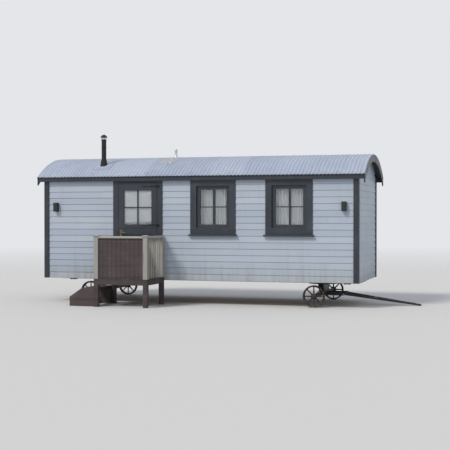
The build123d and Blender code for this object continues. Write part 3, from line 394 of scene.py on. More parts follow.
def pale_pine(name, light, dark, ring, gloss):
    """Oiled or limewashed pine boards: clear growth rings and small knots."""
    made, tree, shader = material(name)
    lay, tone = board_place(tree), board_tone(tree)
    # Rings 17 mm apart, fibre of 4 mm, a knot to each 620 mm of board
    rings = growth_rings(tree, lay, (0.30, 12.0, 12.0), 1.5, 7.0, 1.0)
    fibre = uneven(tree, lay, (5.0, 260.0, 260.0), detail=4.0)
    held = put(tree, "ShaderNodeMapping", {"Vector": lay, "Scale": (1.6, 9.0, 9.0)})
    knots = put(tree, "ShaderNodeTexVoronoi", {"Vector": held.outputs[0], "Scale": 1.0}).outputs["Distance"]
    base = coated(
        tree, light, (tone, dark), ((rings, 0.45, 0.95, 0.0, 0.40), ring),
        ((fibre, 0.50, 0.75, 0.0, 0.20), ring), ((knots, 0.10, 0.04, 0.0, 0.85), "#6B4A2E"))
    finished(tree, shader, base, gloss, fibre, 0.0003)
    return made


def curtain_linen():
    """Bleached linen, plain weave: matt, soft sheen at the folds' edges."""
    made, tree, shader = material("bleached_linen")
    # Threads 1.2 mm apart, a coarse linen's, and slubs 11 mm wide
    weave = put(tree, "ShaderNodeUVMap", uv_map="cloth").outputs["UV"]
    warp, weft = [put(tree, "ShaderNodeTexWave", {"Vector": weave, "Scale": 260.0, "Distortion": 1.2},
                      wave_type="BANDS", bands_direction=way).outputs["Fac"] for way in "XY"]
    slub = uneven(tree, weave, (6.0, 90.0, 1.0), detail=4.0)
    threads = put(tree, "ShaderNodeMath", {0: warp, 1: weft}, operation="MULTIPLY").outputs[0]
    base = coated(
        tree, "#EEF2F7", ((slub, 0.40, 0.70), "#E2E7EE"), ((threads, 0.0, 0.5, 0.20, 0.0), "#B9C0CA"))
    finished(tree, shader, base, 0.85, threads, 0.0004)
    feed(tree, shader, {"Sheen Weight": 0.25, "Sheen Roughness": 0.4})
    return made


def window_glass():
    """Clear float glass, a little green at its edges, with a film of dust."""
    made, tree, shader = material("clear_float_glass")
    # Dust in patches of 110 by 200 mm
    film = uneven(tree, object_place(tree), (9.0, 9.0, 5.0), detail=4.0)
    feed(tree, shader, {"Base Color": colour("#FAFCFC"), "Roughness": (film, 0.4, 0.9, 0.015, 0.10),
                        "Transmission Weight": 1.0, "IOR": 1.5})
    return made


def opal_glass():
    """Opal lamp glass: milky, smooth and softly bright."""
    made, tree, shader = material("opal_glass")
    # Milkier spots of 33 mm
    haze = uneven(tree, object_place(tree), (30.0, 30.0, 30.0), detail=2.0)
    feed(tree, shader, {"Base Color": coated(tree, "#EFEBE0", (haze, "#E2DCCB")), "Roughness": 0.25,
                        "Transmission Weight": 0.35})
    return made


def iron(name, base_hex, worn_hex, gloss, grit):
    """Forged or cast iron under matt black, worn to bare metal on high spots."""
    made, tree, shader = material(name)
    where = object_place(tree)
    # grit counts the grains to a metre, which are 1.4 to 3.3 mm wide; worn spots of 55 mm
    skin = uneven(tree, where, (grit, grit, grit), detail=4.0)
    wear = uneven(tree, where, (18.0, 18.0, 18.0), detail=5.0)
    base = coated(tree, base_hex, ((wear, 0.52, 0.72, 0.0, 0.7), worn_hex))
    finished(tree, shader, base, (wear, 0.35, 0.75, gloss, gloss + 0.2), skin, 0.0004)
    feed(tree, shader, {"Metallic": 0.35})
    return made


def bare_metal(name, base_hex, stain_hex, gloss):
    """Bare or thinly oxidised metal with stains, brushed by handling."""
    made, tree, shader = material(name)
    where = object_place(tree)
    # Stains of 60 mm, brush marks 7 mm apart
    stain = uneven(tree, where, (16.0, 16.0, 16.0), detail=6.0)
    rub = uneven(tree, where, (150.0, 150.0, 600.0), detail=3.0)
    base = coated(tree, base_hex, ((stain, 0.45, 0.70, 0.0, 0.75), stain_hex))
    finished(tree, shader, base, (stain, 0.35, 0.75, gloss, gloss + 0.25), rub, 0.0001)
    feed(tree, shader, {"Metallic": 1.0})
    return made


# The finish of each of the record's slots
finishes = {
    "painted_boards": painted_boards(),
    "dark_trim": dark_paint(),
    "roof_metal": coated_sheet(),
    "chassis_steel": black_steel(),
    "wheel_iron": wheel_iron(),
    "floor_wood": pale_pine("oiled_pine_floor", "#B59368", "#A28259", "#8E6C45", 0.38),
    "lining_wood": pale_pine("limewashed_pine_lining", "#E7E4DC", "#DDD8CC", "#CDC3B0", 0.55),
    "window_pane": window_glass(),
    "curtain_cloth": curtain_linen(),
    "black_iron": iron("forged_iron_matt_black", "#1B1C1E", "#4A4542", 0.45, 300.0),
    "flue_metal": iron("vitreous_enamel_matt_black", "#1E2023", "#34373A", 0.40, 500.0),
    "flashing_metal": bare_metal("dulled_aluminium", "#C9CCCF", "#9DA1A4", 0.38),
    "landing_wood": stained_wood(),
    "pale_wood": silvered_wood(),
    "handle_metal": bare_metal("aged_brass", "#8B8068", "#4A4436", 0.36),
    "handle_steel": bare_metal("turned_steel", "#A7A9AB", "#6E6863", 0.30),
    "lamp_metal": iron("powder_coated_graphite", "#2B2E31", "#3A3E42", 0.42, 700.0),
    "lamp_pane": opal_glass(),
}


# Making meshes


def within(span, edge):
    """A span less an edge at both its ends."""
    return span[0] + edge, span[1] - edge


def ends_of(span, inner):
    """The two ends that an inner span leaves of a span."""
    return (span[0], inner[0]), (inner[1], span[1])


def square_to(axis):
    """A direction and two others that are square to it."""
    axis = Vector(axis).normalized()
    side = axis.orthogonal().normalized()
    return axis, side, axis.cross(side)


def skin_faces(rings, steps):
    """The faces of a form that is given as rings of points, with its two flat ends."""
    faces = []
    for ring in range(rings - 1):
        for step in range(steps):
            a, b = ring * steps + step, ring * steps + (step + 1) % steps
            faces.append((a, b, b + steps, a + steps))
    last = (rings - 1) * steps
    return [*faces, tuple(range(steps))[::-1], tuple(range(last, last + steps))]


def grid_faces(columns, rows):
    """The faces of a grid whose points are given column by column."""
    starts = [i * (rows + 1) + j for i in range(columns) for j in range(rows)]
    return [(a, a + rows + 1, a + rows + 2, a + 1) for a in starts]


class Form:
    """Closed shapes gathered into one mesh. Shapes with the same board number share their tone and grain."""

    def __init__(self):
        self.points = []
        self.faces = []
        self.boards = []
        self.next_board = 0

    def new_board(self):
        """The number of a new board."""
        self.next_board += 1
        return self.next_board

    def add(self, points, faces, board=None):
        """Takes in a closed shape, as a board of its own unless one is named."""
        start = len(self.points)
        self.points += [tuple(p) for p in points]
        self.faces += [[start + i for i in face] for face in faces]
        self.boards += [self.new_board() if board is None else board] * len(points)

    def block(self, low, high):
        """A box between two corners."""
        corners = [(x, y, z) for x in (low[0], high[0]) for y in (low[1], high[1]) for z in (low[2], high[2])]
        self.add(corners, [(0, 1, 3, 2), (4, 6, 7, 5), (0, 4, 5, 1),
                           (2, 3, 7, 6), (0, 2, 6, 4), (1, 5, 7, 3)])

    def prism(self, near, far, board=None):
        """A solid between two like outlines."""
        count = len(near)
        sides = [(i, (i + 1) % count, count + (i + 1) % count, count + i) for i in range(count)]
        self.add([*near, *far], [tuple(range(count))[::-1], tuple(range(count, 2 * count)), *sides], board)

    def lathe(self, centre, axis, profile, steps):
        """A turned form with flat ends: profile holds (distance along the axis, radius) pairs."""
        axis, side, other = square_to(axis)
        points = []
        for along, radius in profile:
            for step in range(steps):
                turn = tau * step / steps
                points.append(Vector(centre) + axis * along + (side * cos(turn) + other * sin(turn)) * radius)
        self.add(points, skin_faces(len(profile), steps))

    def ring(self, centre, axis, profile, steps=48):
        """A turned ring: profile is a closed outline of (distance along the axis, radius) pairs."""
        axis, side, other = square_to(axis)
        count = len(profile)
        points, faces = [], []
        for step in range(steps):
            turn = tau * step / steps
            away = side * cos(turn) + other * sin(turn)
            points += [Vector(centre) + axis * along + away * radius for along, radius in profile]
        for step in range(steps):
            for i in range(count):
                a, b = step * count, (step + 1) % steps * count
                faces.append((a + i, a + (i + 1) % count, b + (i + 1) % count, b + i))
        self.add(points, faces)

    def tube(self, path, radius, steps):
        """A round bar along a path, with rounded ends."""
        path = [Vector(p) for p in path]
        directions = [(b - a).normalized() for a, b in zip(path, path[1:])]
        turns = [(a + b).normalized() for a, b in zip(directions, directions[1:])]
        tangents = [directions[0], *turns, directions[-1]]
        rounding = [(radius * cos(share * pi / 2), radius * sin(share * pi / 2)) for share in (0.25, 0.7)]
        rings = [(path[0] - tangents[0] * reach, tangents[0], size) for reach, size in rounding]
        rings += [(p, t, radius) for p, t in zip(path, tangents)]
        rings += [(path[-1] + tangents[-1] * reach, tangents[-1], size) for reach, size in rounding[::-1]]
        points = []
        side = tangents[0].orthogonal().normalized()
        for place, tangent, size in rings:
            side = (side - tangent * side.dot(tangent)).normalized()
            other = tangent.cross(side)
            for step in range(steps):
                turn = tau * step / steps
                points.append(place + (side * cos(turn) + other * sin(turn)) * size)
        self.add(points, skin_faces(len(rings), steps))


def islands(mesh):
    """A number for each vertex that says which separate shape it belongs to."""
    count = len(mesh.vertices)
    edges = np.empty(2 * len(mesh.edges), np.int64)
    mesh.edges.foreach_get("vertices", edges)
    a, b = edges[0::2], edges[1::2]
    label = np.arange(count)
    while True:
        low = np.minimum(label[a], label[b])
        before = label.copy()
        np.minimum.at(label, a, low)
        np.minimum.at(label, b, low)
        label = label[label]
        if np.array_equal(before, label):
            return label


def mark_boards(mesh, boards, seed=0):
    """Gives each board its tone, and coordinates in metres that run along it first."""
    place = np.empty(3 * len(mesh.vertices), np.float32)
    mesh.vertices.foreach_get("co", place)
    place = place.reshape(-1, 3)
    lay = np.empty_like(place)
    tone = np.empty(len(place), np.float32)
    luck = np.random.default_rng(random_seed + seed)
    for board in np.unique(boards):
        chosen = boards == board
        size = np.ptp(place[chosen], axis=0)
        order = [int(np.argmax(size))]
        order += [i for i in range(3) if i != order[0]]
        lay[chosen] = place[chosen][:, order] + luck.random(3) * 9.0
        tone[chosen] = luck.random()
    mesh.attributes.new("lay", "FLOAT_VECTOR", "POINT").data.foreach_set("vector", lay.ravel())
    mesh.attributes.new("tone", "FLOAT", "POINT").data.foreach_set("value", tone)


def ease_edges(piece, width):
    """Rounds a piece's edges by a live bevel."""
    bevel = piece.modifiers.new("eased_edges", "BEVEL")
    bevel.width = width
    bevel.segments = 2
    bevel.limit_method = "ANGLE"
    bevel.angle_limit = radians(38)


def thicken(piece, name, thickness, offset):
    """Gives a sheet its thickness: outwards at offset 1, inwards at -1, to both sides at 0."""
    skin = piece.modifiers.new(name, "SOLIDIFY")
    skin.thickness = thickness
    skin.offset = offset


def mesh_of(form, name, smooth=False):
    """The mesh of a form, its faces outwards, with its boards marked."""
    mesh = bpy.data.meshes.new(name)
    mesh.from_pydata(form.points, [], form.faces)
    work = bmesh.new()
    work.from_mesh(mesh)
    bmesh.ops.recalc_face_normals(work, faces=work.faces)
    work.to_mesh(mesh)
    work.free()
    mark_boards(mesh, np.array(form.boards), len(name))
    if smooth:
        smoothed(mesh)
    return mesh


def smoothed(mesh):
    """Round faces shade smoothly, and real edges stay sharp."""
    mesh.polygons.foreach_set("use_smooth", [True] * len(mesh.polygons))
    mesh.set_sharp_from_angle(angle=radians(32))


def placed(mesh, name, body, slot_name, stands_for=(), ease=0.0):
    """Puts a mesh in the scene as a piece, with its body, slot, finish and the nodes that it stands for."""
    piece = bpy.data.objects.new(name, mesh)
    bpy.context.scene.collection.objects.link(piece)
    if ease:
        ease_edges(piece, ease)
    if not mesh.materials:
        mesh.materials.append(finishes[slot_name])
    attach(piece, body)
    if stands_for:
        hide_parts(*stands_for)
    return piece


def made_piece(form, name, body, slot_name, stands_for=(), ease=0.0, smooth=False):
    """Turns a form into a piece of the hut."""
    return placed(mesh_of(form, name, smooth), name, body, slot_name, stands_for, ease)


def eased_node(node, body, slot_name, width, name, smooth=False):
    """A node's own form with its edges eased, as planed wood and rolled steel have them."""
    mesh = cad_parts[node].data.copy()
    mesh.name = name
    work = bmesh.new()
    work.from_mesh(mesh)
    bmesh.ops.remove_doubles(work, verts=work.verts, dist=1e-5)
    bmesh.ops.dissolve_limit(work, angle_limit=radians(0.5), verts=work.verts, edges=work.edges)
    bmesh.ops.recalc_face_normals(work, faces=work.faces)
    work.to_mesh(mesh)
    work.free()
    mesh.materials.clear()
    for old in [a.name for a in mesh.attributes if a.domain == "CORNER" and not a.name.startswith(".corner")]:
        mesh.attributes.remove(mesh.attributes[old])
    mark_boards(mesh, islands(mesh), len(node))
    mesh.polygons.foreach_set("use_smooth", [False] * len(mesh.polygons))
    if smooth:
        smoothed(mesh)
    return placed(mesh, name, body, slot_name, [node], width)


# Geometry node trees


def new_tree(name, inputs):
    """A geometry tree with inputs given as (name, socket kind) pairs, and what its nodes read them from."""
    tree = bpy.data.node_groups.new(name, "GeometryNodeTree")
    for label, kind in inputs:
        tree.interface.new_socket(label, in_out="INPUT", socket_type="NodeSocket" + kind)
    tree.interface.new_socket("Result", in_out="OUTPUT", socket_type="NodeSocketGeometry")
    return tree, put(tree, "NodeGroupInput").outputs


def close_tree(tree, geometry, finish):
    """Ends a tree: instances made real, in their finish."""
    real = put(tree, "GeometryNodeRealizeInstances", {"Geometry": geometry})
    painted = put(tree, "GeometryNodeSetMaterial", {"Geometry": real.outputs[0], "Material": finish})
    put(tree, "NodeGroupOutput", {"Result": painted.outputs[0]})
    return tree


def from_tree(tree, name, settings, source=None):
    """The plain mesh that a tree makes with these settings."""
    carrier = bpy.data.objects.new(name, source or bpy.data.meshes.new(name))
    bpy.context.scene.collection.objects.link(carrier)
    grow = carrier.modifiers.new("form", "NODES")
    grow.node_group = tree
    names = {item.name: item.identifier for item in tree.interface.items_tree if item.in_out == "INPUT"}
    for label, value in settings.items():
        grow[names[label]] = value
    bpy.context.view_layer.update()
    shaped = carrier.evaluated_get(bpy.context.evaluated_depsgraph_get())
    mesh = bpy.data.meshes.new_from_object(shaped)
    mesh.name = name
    bpy.data.objects.remove(carrier)
    return mesh


def corrugated_tree():
    """One corrugated sheet, bent over the roof's arc. Its right edge lies over the next sheet."""
    sizes = ("Width", "Middle", "Half Arc", "Radius", "Centre Y", "Centre Z", "Pitch", "Depth", "Crest X",
             "Lift")
    tree, given = new_tree("corrugated_sheet", [
        *[(size, "Float") for size in sizes], ("Wave Points", "Int"), ("Arc Points", "Int"),
        ("Finish", "Material")])
    grid = put(tree, "GeometryNodeMeshGrid", {"Size X": given["Width"], "Size Y": 2.0,
                                              "Vertices X": given["Wave Points"],
                                              "Vertices Y": given["Arc Points"]})
    start = put(tree, "GeometryNodeInputPosition").outputs[0]
    flat = put(tree, "ShaderNodeSeparateXYZ", {"Vector": start})
    known = {size: given[size] for size in sizes}
    known.update({"Across": flat.outputs["X"], "Along": flat.outputs["Y"]})
    # Each row names what an operation makes of two numbers or earlier names
    for name, operation, first, second in (
            ("x", "ADD", "Across", "Middle"),
            ("past crest", "SUBTRACT", "x", "Crest X"),
            ("waves", "DIVIDE", "past crest", "Pitch"),
            ("phase", "MULTIPLY", "waves", tau),
            ("crest", "COSINE", "phase", 0.0),
            ("half crest", "MULTIPLY", "crest", 0.5),
            ("height share", "ADD", "half crest", 0.5),
            ("raised", "MULTIPLY", "height share", "Depth"),
            ("sheet share", "DIVIDE", "Across", "Width"),
            ("from left", "ADD", "sheet share", 0.5),
            ("lifted", "MULTIPLY", "from left", "Lift"),
            ("wavy radius", "ADD", "Radius", "raised"),
            ("radius", "ADD", "wavy radius", "lifted"),
            ("turn", "MULTIPLY", "Along", "Half Arc"),
            ("sine", "SINE", "turn", 0.0),
            ("cosine", "COSINE", "turn", 0.0),
            ("out", "MULTIPLY", "radius", "sine"),
            ("up", "MULTIPLY", "radius", "cosine"),
            ("y", "ADD", "out", "Centre Y"),
            ("z", "ADD", "up", "Centre Z")):
        terms = {0: known.get(first, first), 1: known.get(second, second)}
        known[name] = put(tree, "ShaderNodeMath", terms, operation=operation).outputs[0]
    place = put(tree, "ShaderNodeCombineXYZ", {"X": known["x"], "Y": known["y"], "Z": known["z"]})
    bent = put(tree, "GeometryNodeSetPosition", {
        "Geometry": grid.outputs["Mesh"], "Position": place.outputs[0]})
    return close_tree(tree, bent.outputs[0], given["Finish"])


def fastener_tree():
    """A head on each point of a mesh, turned to face as the point says."""
    tree, given = new_tree("fasteners", [("Places", "Geometry"), ("Head", "Object"), ("Finish", "Material")])
    head = put(tree, "GeometryNodeObjectInfo", {"Object": given["Head"]})
    facing = put(tree, "GeometryNodeInputNamedAttribute", {"Name": "facing"}, data_type="FLOAT_VECTOR")
    turned = put(tree, "FunctionNodeAlignRotationToVector", {"Vector": facing.outputs["Attribute"]}, axis="Z")
    heads = put(tree, "GeometryNodeInstanceOnPoints", {
        "Points": given["Places"], "Instance": head.outputs["Geometry"], "Rotation": turned.outputs[0]})
    return close_tree(tree, heads.outputs[0], given["Finish"])


sheet_tree, head_tree = corrugated_tree(), fastener_tree()


def head_object(name, profile, steps):
    """A fastener's head, its seat at the origin and its top along +Z."""
    form = Form()
    form.lathe((0, 0, 0), (0, 0, 1), profile, steps)
    head = bpy.data.objects.new(name, mesh_of(form, name))
    bpy.context.scene.collection.objects.link(head)
    return head


nail_head = head_object("nail_head", [(-0.001, 0.0034), (0.0006, 0.0034), (0.0013, 0.0018)], 8)
bolt_head = head_object("bolt_head", [(-0.001, 0.0150), (0.002, 0.0150), (0.0021, 0.0105), (0.0085, 0.0105),
                                      (0.0100, 0.0085)], 6)
coach_head = head_object("coach_head", [(-0.001, 0.0085), (0.001, 0.0085), (0.0035, 0.0068),
                                        (0.0050, 0.0030)], 12)
roof_screw = head_object("roof_screw", [(-0.001, 0.0095), (0.0015, 0.0090), (0.0016, 0.0050),
                                        (0.0060, 0.0050), (0.0068, 0.0040)], 8)


def fasteners(name, places, head, body, slot_name):
    """Heads at places, given as (point, facing) pairs."""
    points = bpy.data.meshes.new(name + "_places")
    points.from_pydata([tuple(point) for point, _ in places], [], [])
    facing = np.array([tuple(f) for _, f in places], np.float32)
    points.attributes.new("facing", "FLOAT_VECTOR", "POINT").data.foreach_set("vector", facing.ravel())
    mesh = from_tree(head_tree, name, {"Head": head, "Finish": finishes[slot_name]}, points)
    return placed(mesh, name, body, slot_name)


# Walls


class WallFace:
    """One wall from outside: u runs along it from the hut's middle, out is measured from its outer face."""

    def __init__(self, axis, side):
        self.axis, self.side = axis, side
        self.face = half_width if axis == "x" else half_length

    def at(self, u, out, z):
        """A place on the wall."""
        away = self.side * (self.face + out)
        if self.axis == "x":
            return (hut_x + u, hut_y + away, z)
        return (hut_x + away, hut_y + u, z)

    @property
    def outwards(self):
        """The way that the wall faces."""
        return Vector((0, self.side, 0)) if self.axis == "x" else Vector((self.side, 0, 0))

    def block(self, form, u, out, z):
        """A box between two u, two out and two z places."""
        form.block(self.at(min(u), out[0], min(z)), self.at(max(u), out[1], max(z)))

    def strip(self, form, u, outline, board=None):
        """A board along the wall whose section is given as (out, z) pairs."""
        near, far = [[self.at(end, out, z) for out, z in outline] for end in u]
        form.prism(near, far, board)

    def plate(self, form, outline, out):
        """A board with its outline given as (u, z) pairs, between two out places."""
        near, far = [[self.at(u, place, z) for u, z in outline] for place in out]
        form.prism(near, far)


front, back = WallFace("x", -1), WallFace("x", 1)
left_end, right_end = WallFace("y", -1), WallFace("y", 1)


def local(box, face):
    """A box as the face's own (u, out, z) ranges."""
    low, high = box
    along, over = (0, 1) if face.axis == "x" else (1, 0)
    middle = (hut_x, hut_y)
    u = (low[along] - middle[along], high[along] - middle[along])
    outs = sorted(face.side * (value - middle[over]) - face.face for value in (low[over], high[over]))
    return u, tuple(outs), (low.z, high.z)


def on_face(node, face):
    """The solids of a node that belong to one long wall, as (u, out, z) ranges."""
    return [local(box, face) for box in solids(node) if (box[0].y + box[1].y - 2 * hut_y) * face.side > 0]


def open_runs(u_range, za, zb, holes):
    """What is left of a run along the wall between two heights, once the holes are taken out."""
    runs = [u_range]
    for (hole_low, hole_high), (hole_bottom, hole_top) in holes:
        if hole_bottom < zb - touching and hole_top > za + touching:
            runs = [run for a, b in runs for run in ((a, min(b, hole_low)), (max(a, hole_high), b))
                    if run[1] - run[0] > least_run]
    return runs


def levels(bottom, top, holes):
    """Heights at which the pattern of holes changes."""
    edges = {bottom, top}
    for _, (hole_bottom, hole_top) in holes:
        edges |= {z for z in (hole_bottom, hole_top) if bottom + 1e-4 < z < top - 1e-4}
    return sorted(edges)


def weatherboards(form, face, u_range, top, holes, luck):
    """Lapped boards on a long wall, joined on its studs. Returns the nails' places."""
    nails = []
    for row in range(ceil((top - wall_bottom) / board_cover)):
        z0 = wall_bottom + row * board_cover
        z1 = min(z0 + board_cover, top)
        studs = np.arange(u_range[0] + stud_pitch, u_range[1] - stud_pitch / 2, stud_pitch)
        # Boards run over five or six studs, and each row's first joint is on a stud of its own choice
        first = int(luck.integers(1, 6))
        joints = [u_range[0], *studs[first::int(luck.integers(5, 7))], u_range[1]]
        for length in zip(joints, joints[1:]):
            board = form.new_board()
            edges = levels(z0, z1, holes)
            for za, zb in zip(edges, edges[1:]):
                out_a, out_b = [board_proud + board_slope * (z - z0) for z in (za, zb)]
                foot = [(out_a - board_ease, za), (out_a, za + board_ease)] if za == z0 else [(out_a, za)]
                section = [(-core_inset, za), *foot, (out_b, zb), (-core_inset, zb)]
                for run in open_runs(within(length, joint_gap / 2), za, zb, holes):
                    face.strip(form, run, section, board)
        for stud in studs:
            nail_z = z0 + nail_rise
            wood = open_runs((stud - nail_clear, stud + nail_clear), nail_z, nail_z + hairline, holes)
            if wood and nail_z < top:
                place = face.at(stud, board_proud + board_slope * nail_rise, nail_z)
                nails.append((place, face.outwards - Vector((0, 0, board_slope))))
    return nails


def arc_reach(half_run, height):
    """How far out from the middle of an end wall the roof leaves room for a board up to this height."""
    if under_roof(half_run) >= height:
        return half_run
    return min(half_run, sqrt(max(under_radius ** 2 - (height - arc_z) ** 2, 0.0)))


def arched(reach, bottom, top, gap, count):
    """The outline of a board on an end wall: level above, or cut to the roof's arc with a gap."""
    across = np.linspace(-reach, reach, count)[::-1]
    return [(-reach, bottom), (reach, bottom), *[(u, min(top, under_roof(u) - gap)) for u in across]]


def end_boards(form, face, half_run):
    """Lapped boards on an end wall, cut to the roof's arc. Returns the nails' places."""
    nails = []
    crown = under_roof(0.0)
    least_height, outer_stud, nail_end, nail_top = 0.02, 0.08, 0.03, 0.05
    for row in range(ceil((crown - wall_bottom) / board_cover)):
        z0 = wall_bottom + row * board_cover
        reach = arc_reach(half_run, z0 + least_height)
        if reach < least_reach:
            continue
        outline = arched(reach, z0, min(z0 + board_cover, crown), 0.0, 25)
        form.prism([face.at(u, -core_inset, z) for u, z in outline],
                   [face.at(u, board_proud + board_slope * (z - z0), z) for u, z in outline])
        for stud in np.arange(-half_run + outer_stud, half_run, end_stud_pitch):
            if abs(stud) < reach - nail_end and z0 + nail_top < under_roof(stud):
                place = face.at(stud, board_proud + board_slope * nail_rise, z0 + nail_rise)
                nails.append((place, face.outwards))
    return nails


def end_lining(form, face):
    """Inside boards on an end wall, cut to the roof's arc."""
    for row in range(ceil((under_roof(0) - floor_top) / lining_cover)):
        z0 = floor_top + row * lining_cover
        reach = arc_reach(inside_width - lining_thickness, z0 + 2 * lining_groove)
        if reach < least_reach:
            continue
        outline = arched(reach, z0, z0 + lining_cover - lining_groove, 2 * hairline, 17)
        face.plate(form, outline, (lining_thickness - wall, -wall))


def panelled(form, face, u_range, out, top, holes):
    """A plain core with its holes."""
    edges = levels(wall_bottom, top, holes)
    for za, zb in zip(edges, edges[1:]):
        for u0, u1 in open_runs(u_range, za, zb, holes):
            face.block(form, (u0, u1), out, (za, zb))


def lining(form, face, u_range, top, holes):
    """Inside boards on a long wall, with V-grooves between them."""
    inner, groove_out, back_out = -wall, lining_groove - wall, lining_thickness - wall
    for row in range(ceil((top - floor_top) / lining_cover)):
        z0 = floor_top + row * lining_cover
        z1 = min(z0 + lining_cover, top)
        board = form.new_board()
        edges = levels(z0, z1, holes)
        for za, zb in zip(edges, edges[1:]):
            foot = [(groove_out, za), (inner, za + lining_groove)] if za == z0 else [(inner, za)]
            head = [(inner, zb - lining_groove), (groove_out, zb)] if zb == z1 else [(inner, zb)]
            for run in open_runs(u_range, za, zb, holes):
                face.strip(form, run, [(back_out, za), *foot, *head, (back_out, zb)], board)


def wall_holes(face, inside):
    """The holes that boards stop at: casings and sills outside, the bare openings inside."""
    holes = []
    for u, _, z in on_face("window_frames", face):
        holes.append((within(u, casing), within(z, casing)) if inside else (u, z))
    if not inside:
        holes += [(u, z) for u, _, z in on_face("window_sills", face)]
    if face is front:
        u, _, z = local(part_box("door_head"), front)
        if inside:
            holes.append((within(u, door_casing), (floor_top, z[1] - door_head_casing)))
        else:
            holes.append((u, (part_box("door_jambs")[0].z, z[1])))
    return holes


def make_walls():
    """Boarded walls, lined inside."""
    luck = np.random.default_rng(random_seed)
    long_walls = ((front, "front", ["wall_front_left", "wall_at_door", "wall_front_right"]),
                  (back, "back", ["wall_back"]))
    run = half_length - (corner_width - corner_thickness) - hairline
    outer_top = under_roof(half_width + board_proud) - hairline
    inner_top = under_roof(half_width - wall) - hairline
    nails = []
    for face, side, nodes in long_walls:
        boards = Form()
        nails += weatherboards(boards, face, (-run, run), outer_top, wall_holes(face, False), luck)
        made_piece(boards, f"weatherboards_{side}", "hut", "painted_boards", nodes)
        core = Form()
        panelled(core, face, within((-half_length, half_length), core_short),
                 (-core_inset, lining_thickness - wall), outer_top, wall_holes(face, True))
        made_piece(core, f"wall_core_{side}", "hut", "painted_boards")
        inside = Form()
        room = (wall - half_length, half_length - wall)
        lining(inside, face, room, inner_top - lining_short, wall_holes(face, True))
        made_piece(inside, f"wall_lining_{side}", "hut", "lining_wood")
    boards, core, inside = Form(), Form(), Form()
    for face in (left_end, right_end):
        nails += end_boards(boards, face, half_width - (corner_width - corner_thickness) - hairline)
        outline = arched(inside_width, wall_bottom, under_roof(0), hairline, 33)
        face.plate(core, outline, (-core_inset, lining_thickness - wall))
        end_lining(inside, face)
    made_piece(boards, "weatherboards_ends", "hut", "painted_boards", ["end_walls"])
    made_piece(core, "wall_core_ends", "hut", "painted_boards")
    made_piece(inside, "wall_lining_ends", "hut", "lining_wood", ease=0.0015)
    fasteners("board_nails", nails, nail_head, "hut", "painted_boards")


def make_corner_boards():
    """Two boards at each corner: the one on the long wall covers the edge of the one on the end wall."""
    form = Form()
    for low, high in solids("corner_boards"):
        left = low.x < hut_x
        near = low.y < hut_y
        outer_x, outer_y = (low.x if left else high.x), (low.y if near else high.y)
        into_x, into_y = (1 if left else -1), (1 if near else -1)
        skin_x, skin_y = outer_x + into_x * corner_thickness, outer_y + into_y * corner_thickness
        far_x, far_y = (high.x if left else low.x), (high.y if near else low.y)
        for a, b in (((outer_x, outer_y), (far_x, skin_y)), ((outer_x, skin_y), (skin_x, far_y))):
            form.block((min(a[0], b[0]), min(a[1], b[1]), low.z), (max(a[0], b[0]), max(a[1], b[1]), high.z))
    made_piece(form, "corner_trim", "hut", "dark_trim", ["corner_boards"], ease=0.0025)


# Roof


def wave_height(x):
    """How high the corrugated sheets stand over their troughs at x."""
    return wave_depth * (0.5 + 0.5 * cos(tau * (x - crest_x) / wave_pitch))


def make_roof_sheets():
    """Corrugated sheets from one end of the roof to the other, lapped over one and a half waves."""
    lap_half = lap_waves * wave_pitch / 2
    start, end = hut_x - roof_half_length, hut_x + roof_half_length
    count = int((end - start) / sheet_cover) + 2
    laps = [crest_x + sheet_cover * k for k in range(-count, count)]
    edges = [start, *[x for x in laps if start + lap_half < x < end - lap_half], end]
    joined = bmesh.new()
    for k, (a, b) in enumerate(zip(edges, edges[1:])):
        a, b = max(a - lap_half, start), min(b + lap_half, end)
        mesh = from_tree(sheet_tree, f"roof_sheet_{k}", {
            "Width": b - a, "Middle": (a + b) / 2, "Half Arc": asin(sheet_edge / crest_radius),
            "Radius": sheet_radius, "Centre Y": hut_y, "Centre Z": arc_z, "Pitch": wave_pitch,
            "Depth": wave_depth, "Crest X": crest_x, "Lift": lap_lift,
            "Wave Points": ceil((b - a) / wave_pitch * wave_steps) + 1, "Arc Points": arc_steps + 1,
            "Finish": finishes["roof_metal"]})
        joined.from_mesh(mesh)
        bpy.data.meshes.remove(mesh)
    roof = bpy.data.meshes.new("corrugated_roof")
    joined.to_mesh(roof)
    joined.free()
    mark_boards(roof, islands(roof))
    roof.polygons.foreach_set("use_smooth", [True] * len(roof.polygons))
    piece = placed(roof, "corrugated_roof", "hut", "roof_metal", ["roof_sheets"])
    thicken(piece, "sheet_thickness", sheet_metal, -1.0)


def make_roof_screws():
    """Rows of screws through the waves' crests into the purlins, but none under the flue's plate."""
    start, end = hut_x - roof_half_length, hut_x + roof_half_length
    edge = 0.02
    plate = flue_plate_size / 2 + edge
    outer_rows = 0.985         # of the way from the crown to the eaves
    waves = int((end - start) / wave_pitch)
    first = crest_x - wave_pitch * int((crest_x - start - edge) / wave_pitch)
    half_arc = asin(deck_half / deck_radius) * outer_rows
    screws = []
    for turn in np.linspace(-half_arc, half_arc, purlin_count):
        up = Vector((0, sin(turn), cos(turn)))
        for wave in range(0, waves + 1, screwed_wave):
            x = first + wave * wave_pitch
            near_flue = abs(x - flue_x) < plate and abs(deck_radius * turn - flue_y + hut_y) < plate
            if x < end - edge and not near_flue:
                screws.append((Vector((x, hut_y, arc_z)) + up * (crest_radius + lap_lift), up))
    fasteners("roof_screws", screws, roof_screw, "hut", "flashing_metal")


